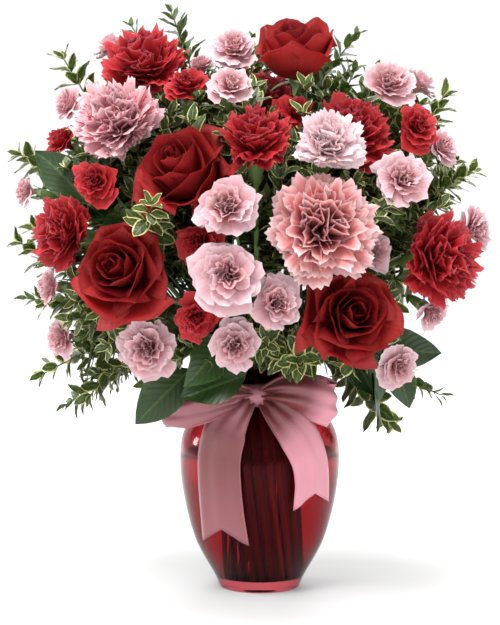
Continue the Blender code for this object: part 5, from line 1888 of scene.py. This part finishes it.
@dataclass
class Greenery:
    """All the sprigs, and the rule that fills the gaps among the flowers with short leafy twigs.

    The rule tries that many places, keeps them the distance apart, and gives each sprig only so many by
    its foliage. Broad leaves fill only the back, within back_reach of the dome's middle.
    """

    layout: Layout
    low: Array
    high: Array
    tries: int = 3000
    apart: float = 23 * MM
    back: float = 20 * MM
    back_reach: float = 120 * MM
    most: dict[Foliage, int] = field(default_factory=lambda: {
        Foliage.WHORLED: 34, Foliage.ALTERNATE: 44, Foliage.BROAD: 9})

    def spots(self, rng: Random) -> Array:
        """Places between the heads that want leaves.

        Points are spread over shells of the dome by the golden angle, lower to the sides; those inside
        or close before a bloom, or low round the neck, are dropped.

        Args:
            rng: the random numbers.

        Returns:
            The places.
        """
        number = np.arange(self.tries)
        up = 1 - 2 * (number + 0.5) / self.tries
        turn = number * GOLDEN_TURN
        flat = np.sqrt(1 - up ** 2)
        level = 0.60 + 0.34 * rng.random(self.tries)
        deep = np.where(np.sin(turn) < 0, DOME_DEPTH, BACK_DEPTH)
        spots = np.stack([
            flat * np.cos(turn) * DOME_HALF_WIDTH * level, flat * np.sin(turn) * deep * level,
            DOME_HEIGHT + up * DOME_HALF_HEIGHT * level], axis=1)
        spots[:, 2] -= 0.5 * np.maximum(np.abs(spots[:, 0]) - 75 * MM, 0.0) * (up < 0.25)
        centre = np.array([h.centre for h in self.layout.heads])
        radius = np.array([h.radius for h in self.layout.heads])
        room = (np.linalg.norm(spots[:, None] - centre[None], axis=2) / radius[None]).min(axis=1)
        lowest = 205 * MM - 0.55 * np.maximum(np.abs(spots[:, 0]) - 60 * MM, 0.0)
        return spots[(room > 0.92) & (spots[:, 2] > lowest)]

    def gaps(self, rng: Random) -> dict[str, list[Array]]:
        """The places that get a short twig, each given to the sprig whose fork is nearest.

        The extra twigs and the collar come first; then the places between the heads, without those
        near one already taken.

        Args:
            rng: the random numbers.

        Returns:
            The places by sprig name.
        """
        names = list(SPRIGS)
        forks = np.array([self.layout.fork(name) for name in names])
        given = {name: [on_dome(*row) for row in EXTRA_TWIGS.get(name, ())] for name in names}
        for number in range(COLLAR_TWIGS):
            angle = number * 2 * math.pi / COLLAR_TWIGS
            spot = [COLLAR_RADIUS * math.sin(angle), -COLLAR_RADIUS * math.cos(angle), COLLAR_HEIGHT]
            given[COLLAR_SPRIGS[number % len(COLLAR_SPRIGS)]].append(np.array(spot))
        taken = [spot for spots in given.values() for spot in spots]
        room_left = {name: self.most[SPRIGS[name][0]] for name in names}
        for spot in self.spots(rng):
            if np.linalg.norm(np.array(taken) - spot, axis=1).min() < self.apart:
                continue
            behind = spot[1] > self.back and math.hypot(spot[0], spot[2] - DOME_HEIGHT) < self.back_reach
            nearest = [names[i] for i in np.argsort(np.linalg.norm(forks - spot, axis=1))]
            free = [
                name for name in nearest
                if room_left[name] > 0 and (behind or SPRIGS[name][0] is not Foliage.BROAD)]
            if not free:
                break
            given[free[0]].append(spot)
            room_left[free[0]] -= 1
            taken.append(spot)
        return given

    def build(self, rng: Random) -> None:
        """Makes every sprig.

        Args:
            rng: the random numbers.
        """
        fillers = self.gaps(rng)
        for name, (foliage, _) in SPRIGS.items():
            mesh = Sprig(self.layout, foliage, self.low, self.high).build(name, fillers[name], rng)
            dress(name + "_leaves", mesh, LEAF_FINISHES[foliage], name)


# Vase, water and ribbon.


@dataclass
class GlassVase:
    """The ruby glass jar, with its water.

    The inside is the outside less the glass, read at the heights in mm. The water enters the glass by
    a trace and climbs it by its skin.
    """

    sides: int = 96
    heights: tuple[float, ...] = (13, 41, 80, 114, 135, 147, 159, 173, 183.5)
    trace: float = 0.25 * MM
    skin_height: float = 1.2 * MM
    skin_width: float = 2 * MM

    def build(self) -> None:
        """Turns the wall and the water."""
        outer = smooth_line(VASE_OUTER, 8)
        heights = smooth_line(np.array(self.heights)[:, None] * MM, 6)[:, 0]
        curve = outer[np.argsort(outer[:, 1])]
        radius = np.interp(heights, curve[:, 1], curve[:, 0]) - GLASS
        floor = np.array([[0.0, FLOOR_HEIGHT], [24 * MM, FLOOR_HEIGHT], [31 * MM, FLOOR_HEIGHT + 0.8 * MM]])
        inner = np.vstack([floor, np.stack([radius, heights], axis=1)])
        lip = np.array([[35.4, 184.4], [36.4, 184.8], [37.4, 184.7]]) * MM
        foot = np.array([[31.5, 0.0], [20.0, 1.2], [0.0, 1.4]]) * MM
        wall = lathe(np.vstack([inner, lip, outer, foot])[::-1], self.sides)
        dress("ruby_glass_vase", wall, RUBY_GLASS, "glass_vase", turned=True)
        wet = inner[inner[:, 1] < WATER_LINE - self.skin_width] + np.array([self.trace, 0.0])
        wet[0, 0] = 0.0
        rim = float(np.interp(WATER_LINE, curve[:, 1], curve[:, 0])) - GLASS + self.trace
        skin = np.array([
            [rim, WATER_LINE + self.skin_height], [rim - self.skin_width, WATER_LINE], [0.0, WATER_LINE]])
        water = lathe(np.vstack([wet, skin])[::-1], self.sides)
        dress("clear_water", water, VASE_WATER, "water", turned=True)


# The bow's loops: middle line in mm, the way across at its start and at its end, cup and pinch in mm,
# and the painted shade at even steps from the knot. Each runs out from the knot in front, turns round its end
# and comes back behind.
LOOPS = (
    ([(-5, -46, 166), (-22, -58, 166), (-42, -64, 163), (-62, -62, 159), (-77, -53, 157), (-74, -42, 158),
      (-58, -43, 163), (-34, -48, 168), (-5, -44, 166)],
     (0.25, 0.30, 1.0), (0.35, -0.2, 1.0), 9, 10, (1.0, 0.85, 0.75, 0.60, 0.7, 0.9, 1.0, 1.0)),
    ([(1, -46, 166), (16, -59, 169), (34, -66, 168), (50, -64, 163), (62, -54, 158), (58, -42, 160),
      (42, -43, 168), (22, -47, 172), (1, -44, 167)],
     (0.10, 0.20, 1.0), (-0.15, -0.3, 1.0), -10, 4, (1.0, 1.0, 0.90, 0.05, 0.0, 0.8, 1.0, 1.0)),
)
# Its tails: middle line as (across, height, distance from the vase's axis) in mm, full width, notch and
# sway in mm, and the painted shade at even steps from the knot: heavy on the left tail, light low on the
# right one.
TAILS = (
    ([(-7, 163, 46), (-17, 157, 58), (-25, 149, 65), (-30, 137, 69.5), (-32, 116, 71), (-31, 94, 70),
      (-31, 70, 66), (-31, 44, 60)],
     39, 14, 3.0, (1.0, 0.75, 0.70, 0.92, 1.0, 0.95, 0.85, 0.75)),
    ([(2, 162, 46), (14, 156, 58), (24, 147, 66.5), (31, 134, 71), (37, 116, 72.5), (42, 97, 71.5),
      (46, 75, 68.5)],
     34, 12, -4.0, (1.0, 1.0, 0.90, 0.30, 0.10, 0.15, 0.10)),
)


@dataclass
class RibbonRun:
    """One loop or tail: its middle line, the way across and the width at each spot, and its folds.

    The pleats are as high as the pleat where the cloth is gathered, the edges bend back by the cup, the end
    is cut in by the notch, and the painted shades say how much painted shade the cloth gets at even steps
    from the knot.
    """

    spots: Array
    lean: Array
    widths: Array
    pleat: float
    cup: float
    painted_shades: tuple[float, ...]
    notch: float = 0.0
    columns: int = 13


@dataclass
class RibbonBow:
    """The satin ribbon: a band round the neck, its knot, two loops and two forked tails."""

    thickness: float = 0.7 * MM
    wound_thickness: float = 0.5 * MM
    width: float = 38 * MM
    length: float = 800 * MM
    band_radius: float = 34.3 * MM
    knot_middle: Place = (-2 * MM, -43 * MM, 164 * MM)
    knot_half_size: Place = (11.5 * MM, 7.4 * MM, 8.6 * MM)

    def strip(self, run: RibbonRun) -> Mesh:
        """A run of ribbon along a smooth line.

        Across it, the cloth is pleated by a cosine that is strongest where it is gathered, and cupped by
        a parabola; a notch moves the end back by an amount that grows to the middle.

        Args:
            run: the loop or tail.

        Returns:
            The run as a closed mesh.
        """
        middle = smooth_line(run.spots, 7)
        share = np.linspace(0.0, 1.0, len(middle))
        knots = np.linspace(0.0, 1.0, len(run.spots))
        lean = read_rows(share, knots, run.lean)
        width = np.interp(share, knots, run.widths)[:, None]
        along = unit(np.gradient(middle, axis=0))
        lean = unit(lean - along * (lean * along).sum(axis=1, keepdims=True))
        normal = np.cross(lean, along)
        u = np.linspace(-1.0, 1.0, run.columns)[None, :]
        gather = (np.clip(1.3 - width / self.width, 0.1, 1.0)) * run.pleat
        bulge = gather * np.cos(2.5 * math.pi * u) - run.cup * u ** 2 * width / self.width
        back = run.notch * (1 - np.abs(u)) * np.clip((share[:, None] - 0.55) / 0.45, 0.0, 1.0) ** 2
        grid = (middle[:, None] + lean[:, None] * (0.5 * u * width)[..., None]
                + normal[:, None] * bulge[..., None] - along[:, None] * back[..., None])
        # The painted shade along the run.
        tone_and_shade = np.interp(share, np.linspace(0.0, 1.0, len(run.painted_shades)), run.painted_shades)
        tenths = run_length(middle)[None, :, None] / 0.1
        paint = {"along": tenths, "across": u[None], "tone_and_shade": tone_and_shade[None, :, None]}
        return shells(grid[None], self.thickness, paint, wall=True)

    def band(self) -> Mesh:
        """The ribbon wound once round the neck, with three soft folds along it.

        Returns:
            The band as a closed mesh.
        """
        turn = np.linspace(0.0, 2 * math.pi, 73)[:, None]
        u = np.linspace(-1.0, 1.0, 9)[None, :]
        radius = self.band_radius + 0.5 * MM * np.cos(3 * math.pi * u + 0.6 * np.sin(3 * turn))
        height = (166.5 + 6.2 * u + 0.8 * np.sin(2 * turn)) * MM
        grid = np.stack(np.broadcast_arrays(-radius * np.sin(turn), radius * np.cos(turn), height), axis=-1)
        # Half the painted shade all over the band.
        paint = {"along": turn[None] * 0.35, "across": u[None], "tone_and_shade": 0.5}
        return shells(grid[None], self.wound_thickness, paint, wall=True)

    def knot(self) -> Mesh:
        """The knot: a short run of ribbon wrapped round the crossing as a barrel with folds along it.

        Returns:
            The knot as a closed mesh.
        """
        turn = np.linspace(0.0, 2 * math.pi, 41)[:, None]
        u = np.linspace(-1.0, 1.0, 13)[None, :]
        belly = 1.0 - 0.42 * u ** 2
        fold = 0.35 * MM * np.cos(4.5 * math.pi * u + 0.8 * np.sin(2 * turn))
        x = self.knot_middle[0] + self.knot_half_size[0] * u
        y = self.knot_middle[1] + (self.knot_half_size[1] * belly + fold) * np.cos(turn)
        z = self.knot_middle[2] + (self.knot_half_size[2] * belly + fold) * np.sin(turn)
        grid = np.stack(np.broadcast_arrays(x, y, z), axis=-1)
        # Half the painted shade all over the knot.
        paint = {"along": turn[None] * 0.2, "across": u[None], "tone_and_shade": 0.5}
        return shells(grid[None], self.wound_thickness, paint, wall=True)

    def loops(self) -> list[Mesh]:
        """The two loops.

        Their width grows from the knot by a power of a sine, and is pinched at the turn by a bell curve.

        Returns:
            Each loop as a closed mesh.
        """
        made = []
        for spots, first, last, cup, pinch, painted_shades in LOOPS:
            share = np.linspace(0.0, 1.0, len(spots))
            lean = np.array(first) + (np.array(last) - np.array(first)) * share[:, None]
            waist = pinch * np.exp(-((share - 0.5) / 0.1) ** 2)
            widths = (10 + 29 * np.sin(share * math.pi) ** 0.6 - waist) * MM
            middle = np.array(spots, float) * MM
            made.append(self.strip(RibbonRun(middle, lean, widths, 3.4 * MM, cup * MM, painted_shades, columns=19)))
        return made

    def tails(self) -> list[Mesh]:
        """The two tails, which hang down the front of the vase and end in a swallow-tail.

        Each lies on the round of the vase, sways by a sine, and widens from the knot to its full width.

        Returns:
            Each tail as a closed mesh.
        """
        made = []
        for rows, full, notch, sway, painted_shades in TAILS:
            spots = np.array(rows, float) * MM
            share = np.linspace(0.0, 1.0, len(spots))
            x = spots[:, 0] + sway * MM * np.sin(share * 2.2 * math.pi)
            middle = np.stack([x, -np.sqrt(spots[:, 2] ** 2 - x ** 2), spots[:, 1]], axis=1)
            across = np.cross(unit(np.gradient(middle, axis=0)), unit(middle * np.array([1.0, 1.0, 0.0])))
            widths = (12 + (full - 12) * np.clip(2.2 * share, 0.0, 1.0) + 4 * share ** 6) * MM
            made.append(self.strip(RibbonRun(middle, across, widths, 2.4 * MM, 3.5 * MM, painted_shades, notch * MM)))
        return made

    def build(self) -> None:
        """Makes the ribbon as one piece of cloth."""
        mesh = Mesh.joined([self.band(), self.knot(), *self.loops(), *self.tails()])
        piece = dress("satin_bow", mesh, PINK_SATIN, "ribbon_bow")


# Studio.


@dataclass
class Studio:
    """Pale floor, soft lights and the camera at the photograph's viewing angle.

    A lamp is its name, its place, its side in metres and its power in watts; all look at the lit point.
    """

    aim_point: Place = (-0.008, 0.0, 0.2283)
    eye: Place = (-0.004, -1.6, 0.36)
    lens: float = 111.8
    reach: float = 6.0
    sky: float = 1.03
    lit_point: Place = (0.0, 0.0, 0.28)
    lamps: tuple[tuple[str, Place, float, float], ...] = (
        ("key", (-0.7, -1.2, 2.0), 0.8, 38.0), ("top", (0.0, -0.15, 2.4), 0.9, 34.0),
        ("side", (-1.55, 0.50, 0.42), 0.3, 8.0), ("fill", (1.6, -1.0, 0.9), 1.2, 6.0),
        ("back", (0.3, 1.4, 1.3), 1.2, 10.0))

    def floor(self) -> None:
        """A wide flat floor."""
        data = bpy.data.meshes.new("floor")
        corners = [(x * self.reach, y * self.reach, 0.0) for x, y in ((-1, -1), (1, -1), (1, 1), (-1, 1))]
        data.from_pydata(corners, [], [(0, 1, 2, 3)])
        data.materials.append(PALE_FLOOR.material())
        thing = bpy.data.objects.new("floor", data)
        bpy.context.scene.collection.objects.link(thing)
        thing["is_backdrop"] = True

    @staticmethod
    def put(data: bpy.types.ID, place: Place, target: Place) -> bpy.types.Object:
        """Places a light or a camera so that it looks at a target.

        Args:
            data: the light or the camera.
            place: where it stands.
            target: where it looks.

        Returns:
            The new object.
        """
        thing = bpy.data.objects.new(data.name, data)
        thing.location = place
        thing.rotation_euler = (Vector(target) - Vector(place)).to_track_quat("-Z", "Y").to_euler()
        bpy.context.scene.collection.objects.link(thing)
        return thing

    def build(self) -> None:
        """Sets the whole studio up."""
        self.floor()
        for name, place, size, power in self.lamps:
            data = bpy.data.lights.new(name, "AREA")
            data.size = size
            data.energy = power
            self.put(data, place, self.lit_point)
        world = bpy.data.worlds.new("soft_white")
        world.use_nodes = True
        world.node_tree.nodes["Background"].inputs["Color"].default_value = (1.0, 1.0, 1.0, 1.0)
        world.node_tree.nodes["Background"].inputs["Strength"].default_value = self.sky
        bpy.context.scene.view_settings.view_transform = "Standard"
        bpy.context.scene.world = world
        data = bpy.data.cameras.new("camera")
        data.lens = self.lens
        data.sensor_width = 36.0
        data.clip_end = 50.0
        bpy.context.scene.camera = self.put(data, self.eye, self.aim_point)


def main() -> None:
    """Builds the scene in order."""
    rng = np.random.default_rng(7)
    layout = Layout()
    layout.arrange()
    Studio().build()
    Bouquet(layout).build(rng)
    low, high = (np.array(corner) for corner in CAD_BOX)
    Greenery(layout, low, high).build(rng)
    GlassVase().build()
    RibbonBow().build()
    total = sum(len(p.vertices) - 2 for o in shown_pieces() if o.type == "MESH" for p in o.data.polygons)
    LOG.info("triangles in all: %d", total)


if __name__ == "__main__":
    main()
